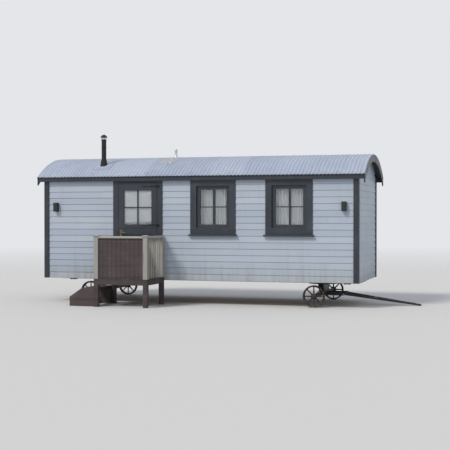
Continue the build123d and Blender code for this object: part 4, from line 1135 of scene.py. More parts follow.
def make_roof_deck():
    """Matchboarding bent over the hut: limewashed inside, dark paint where it stands out past the walls."""
    inside, outside = Form(), Form()
    over_wall = asin((half_width - wall / 2) / under_radius)
    half_arc = asin(deck_half / under_radius)
    count = round(2 * over_wall * under_radius / ceiling_board)
    joints = [-half_arc, *np.linspace(-over_wall, over_wall, count + 1), half_arc]
    ends = (hut_x - roof_half_length, hut_x + roof_half_length)
    over_ends = (hut_x - half_length + wall / 2, hut_x + half_length - wall / 2)
    groove = ceiling_groove / under_radius
    for k, (a, b) in enumerate(zip(joints, joints[1:])):
        outline = [
            (deck_radius, a), (under_radius + ceiling_groove, a), (under_radius, a + groove),
            (under_radius, (a + b) / 2), (under_radius, b - groove), (under_radius + ceiling_groove, b),
            (deck_radius, b), (deck_radius, (a + b) / 2)]
        section = [(hut_y + r * sin(t), arc_z + r * cos(t)) for r, t in outline]
        near, far = min(y for y, _ in section), max(y for y, _ in section)
        eave = k in (0, count + 1)
        runs = [(outside, ends)] if eave else [(outside, (ends[0], over_ends[0])), (inside, over_ends),
                                               (outside, (over_ends[1], ends[1]))]
        if not eave and near < flue_y + flue_clear and far > flue_y - flue_clear:
            around_flue = ends_of(over_ends, (flue_x - flue_clear, flue_x + flue_clear))
            runs[1:2] = [(inside, run) for run in around_flue]
        for form, (x0, x1) in runs:
            form.prism([(x0, y, z) for y, z in section], [(x1, y, z) for y, z in section])
    made_piece(inside, "ceiling_boards", "hut", "lining_wood", ["roof_deck"])
    made_piece(outside, "overhang_boards", "hut", "dark_trim")
    plate = Form()
    under = under_roof(flue_y - hut_y)
    plate.ring((flue_x, flue_y, under), (0, flue_y - hut_y, under - arc_z), [
        (-0.010, 0.060), (-0.010, 0.117), (-0.005, 0.122), (0.001, 0.122), (0.001, 0.060)])
    made_piece(plate, "flue_ceiling_plate", "hut", "black_iron", smooth=True)


def roof_fall(y):
    """How much lower the waves' crests lie at y than at the flue."""
    return sqrt(crest_radius ** 2 - (flue_y - hut_y) ** 2) - sqrt(crest_radius ** 2 - (y - hut_y) ** 2)


def dressed_plate(name, x, y, size, pipe_radius, slot_name, apron=0.0):
    """A soft metal plate beaten over the waves of the roof round a pipe, with an apron down the slope."""
    turn = asin((y - hut_y) / crest_radius)
    collar, easing, collar_rise = pipe_radius * 1.15, size * 0.16, 0.004
    metal, plate_radius = 0.0014, sheet_radius + lap_lift + 0.0016
    points, steps = [], 48
    for i in range(steps + 1):
        for j in range(steps + 1):
            u = (i / steps - 0.5) * size
            v = (j / steps - 0.5) * size - (1 - j / steps) * apron
            reach = sqrt(u * u + v * v)
            flat = min(1.0, max(0.0, 1.0 - (reach - collar) / easing))
            flat = flat * flat * (3 - 2 * flat)
            raised = wave_height(x + u) * (1 - flat) + (wave_depth + collar_rise) * flat
            radius = plate_radius + raised
            angle = turn + v / crest_radius
            points.append((x + u, hut_y + radius * sin(angle), arc_z + radius * cos(angle)))
    mesh = bpy.data.meshes.new(name)
    mesh.from_pydata(points, [], grid_faces(steps, steps))
    mark_boards(mesh, np.zeros(len(points), int))
    mesh.polygons.foreach_set("use_smooth", [True] * len(mesh.polygons))
    thicken(placed(mesh, name, "hut", slot_name), "sheet_thickness", metal, 1.0)
    rim, edge, rivets = [], 0.46 * size, 7
    for share in np.linspace(0, 1, rivets):
        a, b = edge * (2 * share - 1), edge * (2 * share - 1) - (1 - share) * apron
        for u, v in ((a, -edge - apron), (a, edge), (-edge, b), (edge, b)):
            angle = turn + v / crest_radius
            up = Vector((0, sin(angle), cos(angle)))
            radius = sheet_radius + lap_lift + 0.0028 + wave_height(x + u)
            rim.append((Vector((x + u, hut_y, arc_z)) + up * radius, up))
    fasteners(name + "_rivets", rim, nail_head, "hut", slot_name)


def make_flue_boot():
    """A dark ribbed boot that seals the stove's pipe, on a plate coated as the roof is."""
    dressed_plate("flue_plate", flue_x, flue_y, flue_plate_size, 0.080, "roof_metal")
    roof_z = arc_z + sqrt(crest_radius ** 2 - (flue_y - hut_y) ** 2)
    boot = Form()
    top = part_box("flue_flashing")[1].z
    steps = [(roof_z - 0.040 - top, 0.088), (roof_z + 0.004 - top, 0.084), (roof_z + 0.012 - top, 0.076)]
    for ring in range(5):
        z = roof_z + 0.018 + ring * 0.019 - top
        radius = 0.074 - ring * 0.0035
        steps += [(z, radius), (z + 0.010, radius), (z + 0.013, radius - 0.003)]
    steps += [(-0.016, 0.0575), (-0.014, 0.0605), (-0.002, 0.0605), (0.0, 0.058), (0.0, 0.049)]
    boot.lathe((flue_x, flue_y, top), (0, 0, 1), steps, 48)
    soft_from, soft_to = roof_z + 0.020, roof_z + 0.002
    for k, (x, y, z) in enumerate(boot.points):
        share = min(1.0, max(0.0, (soft_from - z) / (soft_from - soft_to)))
        boot.points[k] = (x, y, z - share * roof_fall(y))
    made_piece(boot, "flue_boot", "hut", "flue_metal", ["flue_flashing"], smooth=True)


def make_flue_pipe():
    """The stove's pipe through the roof: joint bands, and a rain cap on four straps."""
    pipe = Form()
    radius = flue_radius
    bottom, peak = flue_low.z, flue_high.z
    pipe_top = peak - 0.105
    profile = [(bottom, radius)]
    for band in (bottom + 0.06, bottom + 0.98, pipe_top - 0.165):
        profile += [(band - 0.014, radius), (band - 0.012, radius + 0.003), (band + 0.012, radius + 0.003),
                    (band + 0.014, radius)]
    profile += [(pipe_top - 0.006, radius), (pipe_top - 0.003, radius + 0.003), (pipe_top, radius + 0.001),
                (pipe_top, radius - 0.003), (pipe_top - 0.09, radius - 0.003)]
    pipe.lathe((flue_x, flue_y, 0), (0, 0, 1), profile, 48)
    pipe.lathe((flue_x, flue_y, 0), (0, 0, 1), [
        (peak - 0.062, 0.066), (peak - 0.060, 0.0745), (peak - 0.055, 0.075), (peak - 0.030, 0.058),
        (peak - 0.010, 0.036), (peak - 0.002, 0.014), (peak, 0.006)], 48)
    for step in range(4):
        turn = tau * (step + 0.5) / 4
        side = Vector((cos(turn), sin(turn), 0))
        across = Vector((-sin(turn), cos(turn), 0)) * 0.010
        foot = Vector((flue_x, flue_y, pipe_top - 0.045)) + side * (radius + 0.0005)
        head = Vector((flue_x, flue_y, peak - 0.056)) + side * 0.062
        for a, b in ((foot, foot + Vector((0, 0, 0.06))), (foot + Vector((0, 0, 0.05)), head)):
            thick = side * 0.002
            pipe.prism([a - across, a + across, a + across + thick, a - across + thick],
                       [b - across, b + across, b + across + thick, b - across + thick])
    made_piece(pipe, "flue_and_cap", "hut", "flue_metal", ["flue_pipe"], smooth=True)


def make_roof_vent():
    """A short bright vent pipe with a small cap, and a bright plate that covers the slope in front of it."""
    low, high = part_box("roof_vent")
    x, y = (low.x + high.x) / 2, (low.y + high.y) / 2
    dressed_plate("vent_plate", x, y, high.x - low.x, 0.034, "flashing_metal", vent_apron)
    roof_z = arc_z + sqrt(crest_radius ** 2 - (y - hut_y) ** 2)
    form = Form()
    form.lathe((x, y, 0), (0, 0, 1), [
        (roof_z - 0.02, 0.040), (roof_z + 0.010, 0.038), (roof_z + 0.022, 0.031), (roof_z + 0.030, 0.0275),
        (high.z - 0.052, 0.0275), (high.z - 0.050, 0.0300), (high.z - 0.012, 0.0300),
        (high.z - 0.004, 0.0255), (high.z, 0.012)], 40)
    made_piece(form, "vent_pipe", "hut", "flashing_metal", ["roof_vent"], smooth=True)


def make_roof_edges():
    """Fascia boards along the eaves and bent bargeboards at the ends."""
    eased_node("fascia_boards", "hut", "dark_trim", 0.003, "eaves_fascia")
    eased_node("bargeboards", "hut", "dark_trim", 0.003, "bent_bargeboards", smooth=True)


# Windows, sills and curtains


def make_windows():
    """Casings butted at the corners, jambs through the wall, casement sashes with crossed bars."""
    frames, sashes, sills, hinges = Form(), Form(), Form(), Form()
    for face in (front, back):
        for u, out, z in on_face("window_frames", face):
            hole_u, hole_z = within(u, casing), within(z, casing)
            light_u, light_z = within(hole_u, window_jamb), within(hole_z, window_jamb)
            through_wall = (out[0], -hairline / 2)
            for height in ends_of(z, light_z):
                face.block(frames, u, (0.0, out[1]), height)
            for width in ends_of(u, light_u):
                face.block(frames, width, (0.0, out[1] - hairline), light_z)
            for width in ends_of(hole_u, light_u):
                face.block(frames, width, through_wall, hole_z)
            for height in ends_of(hole_z, light_z):
                face.block(frames, light_u, through_wall, height)
        for u, out, z in on_face("window_sashes", face):
            sash_joinery(sashes, face, u, out, z)
            for height in (z[0] + 0.08, z[1] - 0.14):
                hinges.lathe(face.at(u[0], out[1], height), (0, 0, 1), [
                    (0.0, 0.0042), (0.001, 0.0055), (0.0195, 0.0055), (0.020, 0.0046), (0.0205, 0.0055),
                    (0.0395, 0.0055), (0.040, 0.0046), (0.0405, 0.0055), (0.059, 0.0055),
                    (0.060, 0.0042)], 20)
        for u, out, z in on_face("window_sills", face):
            nose = out[1]
            face.strip(sills, u, [(0.0, z[0]), (nose - 0.022, z[0]), (nose - 0.019, z[0] + 0.005),
                                  (nose - 0.014, z[0] + 0.005), (nose - 0.011, z[0]), (nose - 0.004, z[0]),
                                  (nose, z[0] + 0.004), (nose, z[1] - 0.012), (nose - 0.003, z[1] - 0.008),
                                  (corner_thickness, z[1]), (0.0, z[1])])
    made_piece(frames, "window_casings", "hut", "dark_trim", ["window_frames"], ease=0.0025)
    made_piece(sashes, "casement_sashes", "hut", "dark_trim", ["window_sashes"], ease=0.002)
    made_piece(sills, "sloped_sills", "hut", "dark_trim", ["window_sills"], ease=0.0008)
    made_piece(hinges, "sash_hinges", "hut", "black_iron", smooth=True)


def joined_frame(form, face, u, out, z, inner_u, inner_z):
    """Two stiles, and two rails between them."""
    for width in ends_of(u, inner_u):
        face.block(form, width, out, z)
    for height in ends_of(z, inner_z):
        face.block(form, inner_u, within(out, hairline), height)


def sash_joinery(form, face, u, out, z):
    """A sash's frame and a cross of slimmer bars in it."""
    inner_u, inner_z = within(u, sash_stile), within(z, sash_stile)
    joined_frame(form, face, u, out, z, inner_u, inner_z)
    crossed_bars(form, face, inner_u, (out[0] + 0.006, out[1] - 0.005), inner_z)


def crossed_bars(form, face, u, out, z):
    """Glazing bars: one upright, and one across in two lengths."""
    upright = (sum(u) / 2 - glazing_bar / 2, sum(u) / 2 + glazing_bar / 2)
    level = (sum(z) / 2 - glazing_bar / 2, sum(z) / 2 + glazing_bar / 2)
    face.block(form, upright, out, z)
    for width in ends_of(u, upright):
        face.block(form, width, within(out, hairline), level)


def cloth_piece(name, points, places, drop, body, thickness, stands_for=()):
    """A hanging cloth: points run down column by column, and places say how far along it each column lies."""
    rows = len(points) // len(places) - 1
    mesh = bpy.data.meshes.new(name)
    mesh.from_pydata(points, [], grid_faces(len(places) - 1, rows))
    cloth = mesh.uv_layers.new(name="cloth")
    for loop in mesh.loops:
        i, j = divmod(loop.vertex_index, rows + 1)
        cloth.data[loop.index].uv = (places[i], drop * (1 - j / rows))
    mesh.polygons.foreach_set("use_smooth", [True] * len(mesh.polygons))
    piece = placed(mesh, name, body, "curtain_cloth", stands_for)
    thicken(piece, "cloth_thickness", thickness, 0.0)
    return piece


def make_curtain(name, low, high, luck):
    """A linen curtain gathered on its rings: deep folds at the top that open out lower down."""
    width, drop = high.x - low.x, high.z - low.z
    middle_y, depth = (low.y + high.y) / 2, (high.y - low.y) / 2 - 0.002
    folds = 8
    columns, rows = folds * 12, 30
    shift = luck.random(folds + 1) * 0.5
    points, places = [], []
    length = 0.0
    for i in range(columns + 1):
        share = i / columns
        fold = share * folds
        k = min(int(fold), folds - 1)
        wander = shift[k] * (1 - (fold - k)) + shift[k + 1] * (fold - k)
        for j in range(rows + 1):
            fall = j / rows
            swing = depth * (0.72 + 0.26 * fall + 0.02 * sin(5 * fall + wander * 9))
            turn = tau * fold + (wander - 0.25) * 1.2 * fall
            bulge = 0.006 * sin(2 * turn) * (1 - 0.4 * fall)
            hem = -0.0012 if fall > 0.965 else 0.0
            points.append((low.x + 0.003 + share * (width - 0.006) + bulge,
                           middle_y + swing * sin(turn) + hem,
                           high.z - 0.001 - fall * (drop - 0.002)))
        if i:
            length += (Vector(points[-1]) - Vector(points[-1 - rows - 1])).length
        places.append(length)
    piece = cloth_piece(name, points, places, drop, "hut", 0.0012, ["curtains"])


def make_curtains():
    """Curtains, the rods with their finials and brackets, and the rings."""
    luck = np.random.default_rng(random_seed + 5)
    rings = Form()
    rod_low, rod_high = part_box("curtain_rods")
    rod_z = (rod_low.z + rod_high.z) / 2
    for count, (low, high) in enumerate(solids("curtains")):
        make_curtain(f"curtain_{count + 1}", low, high, luck)
        y = (low.y + high.y) / 2
        for ring in range(9):
            x = low.x + 0.02 + (high.x - low.x - 0.04) * ring / 8
            rings.ring((x, y, rod_z - 0.003), (1, 0.12, 0), [
                (0.0015 * cos(t), 0.0125 + 0.0015 * sin(t)) for t in (0, tau / 4, tau / 2, 3 * tau / 4)], 20)
    made_piece(rings, "curtain_rings", "hut", "handle_metal", smooth=True)
    rods = Form()
    for low, high in solids("curtain_rods"):
        y = (low.y + high.y) / 2
        radius = (high.z - low.z) / 2
        rods.lathe((low.x, y, rod_z), (1, 0, 0), [(0.0, radius), (high.x - low.x, radius)], 24)
        for end, way in ((low.x, -1), (high.x, 1)):
            rods.lathe((end + way * 0.020, y, rod_z), (way, 0, 0), [
                (0.0, radius), (0.006, radius), (0.008, radius * 0.6), (0.014, radius * 0.6),
                (0.022, radius * 1.3), (0.032, radius * 1.4), (0.042, radius), (0.046, radius * 0.4)], 24)
    made_piece(rods, "curtain_poles", "hut", "black_iron", ["curtain_rods"], smooth=True)
    eased_node("rod_brackets", "hut", "black_iron", 0.003, "pole_brackets")


# Door


def make_door_frame():
    """Jambs and head with their stops and casings, and the worn threshold."""
    eased_node("door_jambs", "hut", "dark_trim", 0.0025, "door_side_frames")
    eased_node("door_head", "hut", "dark_trim", 0.0025, "door_head_frame")
    eased_node("threshold_board", "hut", "pale_wood", 0.004, "worn_threshold")


def make_door_leaves():
    """The lower leaf's boarded panel, the upper leaf's four panes."""
    u, out, z = local(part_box("lower_leaf"), front)
    inner_u, inner_z = within(u, leaf_stile), within(z, leaf_stile)
    lower = Form()
    joined_frame(lower, front, u, out, z, inner_u, inner_z)
    count, groove, recess = 6, 0.004, 0.012
    board = (inner_u[1] - inner_u[0]) / count
    panel = within(out, recess)
    for k in range(count):
        a, b = inner_u[0] + k * board, inner_u[0] + (k + 1) * board
        outline = [
            (a, panel[0] + groove), (a + groove, panel[0]), (b - groove, panel[0]), (b, panel[0] + groove),
            (b, panel[1] - groove), (b - groove, panel[1]), (a + groove, panel[1]), (a, panel[1] - groove)]
        lower.prism([front.at(x, o, inner_z[0]) for x, o in outline],
                    [front.at(x, o, inner_z[1]) for x, o in outline])
    made_piece(lower, "lower_door_leaf", "lower_door", "dark_trim", ["lower_leaf"], ease=0.002)
    u, out, z = local(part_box("upper_leaf"), front)
    panes = [local(box, front) for box in solids("door_glass")]
    glass_u = (min(p[0][0] for p in panes), max(p[0][1] for p in panes))
    glass_z = (min(p[2][0] for p in panes), max(p[2][1] for p in panes))
    upper = Form()
    joined_frame(upper, front, u, out, z, glass_u, glass_z)
    crossed_bars(upper, front, glass_u, within(out, 0.008), glass_z)
    made_piece(upper, "upper_door_leaf", "upper_door", "dark_trim", ["upper_leaf"], ease=0.002)


def make_door_net():
    """A voile gathered on two wires behind the upper leaf's panes, inside the leaf's thickness."""
    _, out, _ = local(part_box("upper_leaf"), front)
    u, _, z = local(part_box("door_glass"), front)
    middle = out[0] + 0.0042
    wires = Form()
    for height in within(z, 0.012):
        wires.tube([front.at(end, middle, height) for end in within(u, -0.006)], 0.0014, 10)
    made_piece(wires, "door_net_wires", "upper_door", "handle_steel", smooth=True)
    folds, rows = 34, 8
    columns = folds * 8
    luck = np.random.default_rng(random_seed + 3)
    depth = 0.0019 + 0.0008 * luck.random(columns + 1)
    drop = z[1] - z[0] - 0.002
    points = []
    for i in range(columns + 1):
        for j in range(rows + 1):
            share, fall = i / columns, j / rows
            turn = tau * folds * share + 0.5 * sin(9 * share + 2 * fall)
            points.append(front.at(u[0] + 0.001 + share * (u[1] - u[0] - 0.002),
                                   middle + depth[i] * sin(turn), z[1] - 0.001 - fall * drop))
    top = [Vector(points[i * (rows + 1)]) for i in range(columns + 1)]
    places = np.cumsum([0.0, *[(b - a).length for a, b in zip(top, top[1:])]])
    net = cloth_piece("door_net", points, places, drop, "upper_door", 0.0006)


def make_hinges():
    """Tapered strap hinges with a rolled eye and coach bolts, hung on pintles."""
    bolts = {"lower_door": [], "upper_door": [], "hut": []}
    for node, body in (("lower_straps", "lower_door"), ("upper_straps", "upper_door")):
        form = Form()
        for low, high in solids(node):
            middle = (low.z + high.z) / 2
            pin_x, pin_y = high.x - strap_knuckle, low.y + strap_knuckle
            back_y = high.y
            front_y = back_y - strap_metal
            eye = pin_x - 0.005
            upper = [(eye, 0.017), (eye - 0.04, 0.017), (low.x + 0.03, 0.010), (low.x + 0.012, 0.012)]
            outline = [*upper, (low.x, 0.0), *[(x, -h) for x, h in upper[::-1]]]
            form.prism([(x, front_y, middle + h) for x, h in outline],
                       [(x, back_y, middle + h) for x, h in outline])
            neck = [(pin_x - 0.0085, pin_y), (pin_x - 0.0025, pin_y),
                    (pin_x - 0.0025, back_y), (pin_x - 0.0085, back_y)]
            form.prism([(x, y, middle - 0.018) for x, y in neck], [(x, y, middle + 0.018) for x, y in neck])
            form.ring((pin_x, pin_y, middle), (0, 0, 1), [
                (-0.020, 0.0061), (-0.020, 0.0100), (-0.019, strap_knuckle),
                (0.019, strap_knuckle), (0.020, 0.0100), (0.020, 0.0061)], 32)
            for x in (eye - 0.055, (eye + low.x) / 2, low.x + 0.045):
                bolts[body].append(((x, front_y, middle), (0, -1, 0)))
        made_piece(form, f"{node[:5]}_strap_hinges", body, "black_iron", [node], ease=0.0008, smooth=True)
    eased_node("door_pintles", "hut", "black_iron", 0.0008, "hinge_pintles", smooth=True)
    for low, high in solids("door_pintles"):
        for z in (low.z + 0.013, low.z + 0.041):
            bolts["hut"].append(((high.x - 0.022, high.y - strap_metal, z), (0, -1, 0)))
    for body, places in bolts.items():
        fasteners(f"coach_bolts_{body}", places, coach_head, body, "black_iron")


def rounded_rectangle(half_u, half_v, radius, steps=6):
    """The outline of a plate with round corners, about its middle."""
    points = []
    for quarter, (su, sv) in enumerate(((1, 1), (-1, 1), (-1, -1), (1, -1))):
        for step in range(steps + 1):
            turn = (quarter + step / steps) * pi / 2
            points.append((su * (half_u - radius) + radius * cos(turn),
                           sv * (half_v - radius) + radius * sin(turn)))
    return points


def make_handle():
    """A cranked lever on a long rose, with a keyhole under it."""
    box_u, _, box_z = local(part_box("door_handle"), front)
    middle_z = sum(box_z) / 2
    middle_u = box_u[0] + 0.0216
    spindle_z = middle_z + 0.012
    rose_back, rose_front = corner_thickness, corner_thickness + 0.0045
    form = Form()
    rose = rounded_rectangle(0.0205, 0.0700, 0.017)
    front.plate(form, [(middle_u + u, middle_z + v) for u, v in rose], (rose_back, rose_front))
    form.lathe(front.at(middle_u, rose_back, spindle_z), (0, -1, 0), [
        (0.003, 0.0130), (0.010, 0.0120), (0.014, 0.0085), (0.034, 0.0080), (0.036, 0.0100), (0.048, 0.0100),
        (0.052, 0.0070)], 32)
    lever = [(0.0, 0.0), (0.02, 0.0015), (0.05, 0.004), (0.08, 0.0025), (0.100, -0.003), (0.108, -0.009)]
    form.tube([front.at(middle_u + u, rose_back + 0.042, spindle_z + v) for u, v in lever], 0.0068, 20)
    form.lathe(front.at(middle_u, rose_back, middle_z - 0.034), (0, -1, 0),
               [(0.003, 0.0085), (0.0062, 0.0080), (0.0072, 0.0060), (0.0060, 0.0032)], 24)
    made_piece(form, "lever_handle", "lower_door", "handle_metal", ["door_handle"], ease=0.0006, smooth=True)
    screws = [(front.at(middle_u, rose_front, middle_z + v), (0, -1, 0)) for v in (-0.058, 0.058)]
    fasteners("handle_screws", screws, nail_head, "lower_door", "handle_metal")


# Stove and lamps


def make_stove():
    """A small cast stove: legs, plinth, fire door with bars and knob, hot plate and flue spigot."""
    low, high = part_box("stove")
    form = Form()
    leg_top = low.z + 0.120
    for x in (low.x + 0.03, high.x - 0.03):
        for y in (low.y + 0.03, high.y - 0.03):
            form.lathe((x, y, low.z), (0, 0, 1), [(0.0, 0.024), (0.012, 0.024), (0.020, 0.013),
                                                  (0.070, 0.016), (0.110, 0.026), (0.122, 0.026)], 20)
    body_low, body_high, body_inset = leg_top + 0.035, high.z - 0.030, 0.018
    face_x = high.x - body_inset
    form.block((low.x, low.y, leg_top), (high.x, high.y, body_low))
    form.block((low.x + body_inset, low.y + body_inset, body_low), (face_x, high.y - body_inset, body_high))
    form.block((low.x, low.y, body_high), high)
    door = (low.y + 0.055, high.y - 0.055, leg_top + 0.130, high.z - 0.085)
    form.block((face_x, door[0], door[2]), (face_x + 0.012, door[1], door[3]))
    for k in range(4):
        y = door[0] + (door[1] - door[0]) * (k + 0.5) / 4
        form.block((face_x + 0.010, y - 0.009, door[2] + 0.03), (face_x + 0.016, y + 0.009, door[3] - 0.03))
    form.lathe((face_x + 0.01, door[0] + 0.018, (door[2] + door[3]) / 2), (1, 0, 0),
               [(0.0, 0.006), (0.008, 0.006), (0.009, 0.008)], 16)
    form.block((face_x, door[0] + 0.01, leg_top + 0.052), (face_x + 0.010, door[1] - 0.01, leg_top + 0.105))
    made_piece(form, "cast_stove", "hut", "black_iron", ["stove"], ease=0.004, smooth=True)
    spigot = Form()
    spigot.lathe((flue_x, flue_y, high.z), (0, 0, 1), [(-0.004, 0.072), (0.006, 0.070), (0.012, 0.059),
                                                       (0.050, 0.057), (0.052, 0.049)], 40)
    made_piece(spigot, "stove_spigot", "hut", "black_iron", smooth=True)


def make_lamps():
    """Square up-and-down wall lamps on their plates, open at both ends over opal glass."""
    form, screws = Form(), []
    sheet = 0.004
    for low, high in solids("wall_lamps"):
        x, z = (low.x + high.x) / 2, (low.z + high.z) / 2
        half = (high.x - low.x) / 2
        plate_y, core_y = high.y - 0.008, high.y - 0.016
        outer_x, inner_x = within((low.x, high.x), hairline), within((low.x, high.x), sheet)
        outer_z = within((low.z, high.z), hairline)
        form.block((low.x, plate_y, low.z), high)
        for x0, x1 in ends_of(outer_x, inner_x):
            form.block((x0, low.y, outer_z[0]), (x1, high.y - 0.011, outer_z[1]))
        form.block((inner_x[0], low.y, outer_z[0]), (inner_x[1], low.y + sheet, outer_z[1]))
        form.block((inner_x[0], core_y, low.z + 0.006), (inner_x[1], plate_y, high.z - 0.006))
        form.block((inner_x[0], low.y + sheet, z - 0.010), (inner_x[1], core_y, z + 0.010))
        for side in (-1, 1):
            screws.append(((x + side * half, high.y - 0.030, z), (side, 0, 0)))
    made_piece(form, "lamp_housings", "hut", "lamp_metal", ["wall_lamps"], ease=0.0012)
    fasteners("lamp_screws", screws, nail_head, "hut", "handle_steel")


# Floor and chassis


def make_floor():
    """Floorboards with staggered ends."""
    low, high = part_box("floor_boards")
    form = Form()
    luck = np.random.default_rng(random_seed + 9)
    rows, side_gap, end_gap = 17, 0.0004, 0.0005
    width = (high.y - low.y) / rows
    for row in range(rows):
        y = low.y + row * width
        cut = low.x + (high.x - low.x) * (0.2 + 0.6 * luck.random())
        for x0, x1 in ends_of((low.x, high.x), (cut - end_gap, cut + end_gap)):
            form.block((x0, y + side_gap, low.z), (x1, y + width - side_gap, high.z))
    made_piece(form, "floorboards", "hut", "floor_wood", ["floor_boards"], ease=0.0012)


def worn_pin(piece):
    """Takes the kingpin's facets a little in, so that they turn freely in the plate's bore."""
    plate_low, plate_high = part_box("lower_turntable")
    middle = (plate_low + plate_high) / 2
    for vertex in piece.data.vertices:
        away = Vector((vertex.co.x - middle.x, vertex.co.y - middle.y, 0.0))
        if away.length < kingpin_radius + 0.001:
            vertex.co -= away * (kingpin_play / kingpin_radius)


def make_chassis():
    """Rolled and welded steel under the floor."""
    for node, name in (("chassis_rails", "frame_rails"), ("cross_members", "frame_crosses"),
                       ("outriggers", "frame_outriggers"), ("jack_pads", "jacking_pads"),
                       ("axle_hangers", "rear_axle_blocks")):
        eased_node(node, "hut", "chassis_steel", 0.004, name)
    eased_node("rear_axle", "hut", "chassis_steel", 0.003, "rear_axle_beam", smooth=True)
    eased_node("upper_turntable", "hut", "chassis_steel", 0.002, "turntable_top", smooth=True)
    for node, name, slot_name, width in (
            ("lower_turntable", "turntable_bottom", "chassis_steel", 0.0007),
            ("front_bolster", "axle_bolster", "chassis_steel", 0.003),
            ("front_axle", "front_axle_beam", "chassis_steel", 0.0025),
            ("drawbar_arms", "drawbar_brackets", "chassis_steel", 0.002),
            ("drawbar_pins", "drawbar_pivot_pins", "handle_steel", 0.0015)):
        piece = eased_node(node, "front_carriage", slot_name, width, name, smooth=True)
        if node == "lower_turntable":
            worn_pin(piece)
    eased_node("drawbar", "drawbar", "chassis_steel", 0.004, "drawbar_frame", smooth=True)
    bolts = []
    for low, high in solids("axle_hangers"):
        for x in (low.x + 0.055, high.x - 0.055):
            for y, way in ((low.y, -1), (high.y, 1)):
                bolts.append(((x, y, high.z - 0.035), (0, way, 0)))
    for low, high in solids("jack_pads"):
        for x in (low.x + 0.03, high.x - 0.03):
            for y in (low.y + 0.03, high.y - 0.03):
                bolts.append(((x, y, low.z), (0, 0, -1)))
    fasteners("frame_bolts", bolts, bolt_head, "hut", "chassis_steel")


# Wheels


def make_wheel(name):
    """A cast wheel: flanged rim, tapered oval spokes, banded hub with a cap over its linchpin."""
    low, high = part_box(name)
    middle = (low + high) / 2
    radius = (high.x - low.x) / 2
    outwards = 1 if middle.y > hut_y else -1
    axis = (0, outwards, 0)
    half_tread, half_hub = 0.035, (high.y - low.y) / 2
    rim_depth, spokes, spoke_sides = 0.026, 8, 14
    inner = radius - rim_depth
    form = Form()
    form.ring(middle, axis, [
        (-half_tread, radius - 0.003), (-half_tread + 0.003, radius), (half_tread - 0.003, radius),
        (half_tread, radius - 0.003), (half_tread, inner - 0.002), (half_tread - 0.004, inner - 0.006),
        (half_tread - 0.010, inner - 0.004), (half_tread - 0.013, inner + 0.006), (0.010, inner + 0.007),
        (-0.010, inner + 0.007), (-half_tread + 0.013, inner + 0.006), (-half_tread + 0.010, inner - 0.004),
        (-half_tread + 0.004, inner - 0.006), (-half_tread, inner - 0.002)], 96)
    form.ring(middle, axis, [(-0.013, inner + 0.010), (-0.006, inner - 0.006), (0.006, inner - 0.006),
                             (0.013, inner + 0.010)], 96)
    form.lathe(middle - Vector(axis) * half_hub, axis, [
        (0.0, 0.040), (0.003, 0.046), (0.020, 0.048), (0.022, 0.054), (0.034, 0.054), (0.038, 0.057),
        (half_hub, 0.058), (2 * half_hub - 0.038, 0.057), (2 * half_hub - 0.034, 0.054),
        (2 * half_hub - 0.024, 0.054), (2 * half_hub - 0.020, 0.047), (2 * half_hub - 0.008, 0.045),
        (2 * half_hub - 0.003, 0.038), (2 * half_hub, 0.024)], 64)
    around, upright = Vector((1, 0, 0)), Vector((0, 0, 1))
    for spoke in range(spokes):
        turn = tau * spoke / spokes
        along = around * cos(turn) + upright * sin(turn)
        side = upright * cos(turn) - around * sin(turn)
        stations = ((0.050, 0.021, 0.019), (0.062, 0.0165, 0.0155), (0.085, 0.0148, 0.0130),
                    (inner - 0.030, 0.0122, 0.0108), (inner - 0.012, 0.0145, 0.0120),
                    (inner + 0.004, 0.021, 0.015))
        round_it = [tau * k / spoke_sides for k in range(spoke_sides)]
        points = [middle + along * reach + side * wide * cos(t) + Vector(axis) * deep * sin(t)
                  for reach, wide, deep in stations for t in round_it]
        form.add(points, skin_faces(len(stations), spoke_sides))
    made_piece(form, name.replace("wheel", "cast_wheel"), name, "wheel_iron", [name], smooth=True)
    cap = [(middle + Vector(axis) * (half_hub - 0.0075) + around * 0.031 * cos(tau * k / 6)
            + upright * 0.031 * sin(tau * k / 6), axis) for k in range(6)]
    fasteners(f"hub_bolts_{name[6:]}", cap, coach_head, name, "wheel_iron")


# Landing and steps


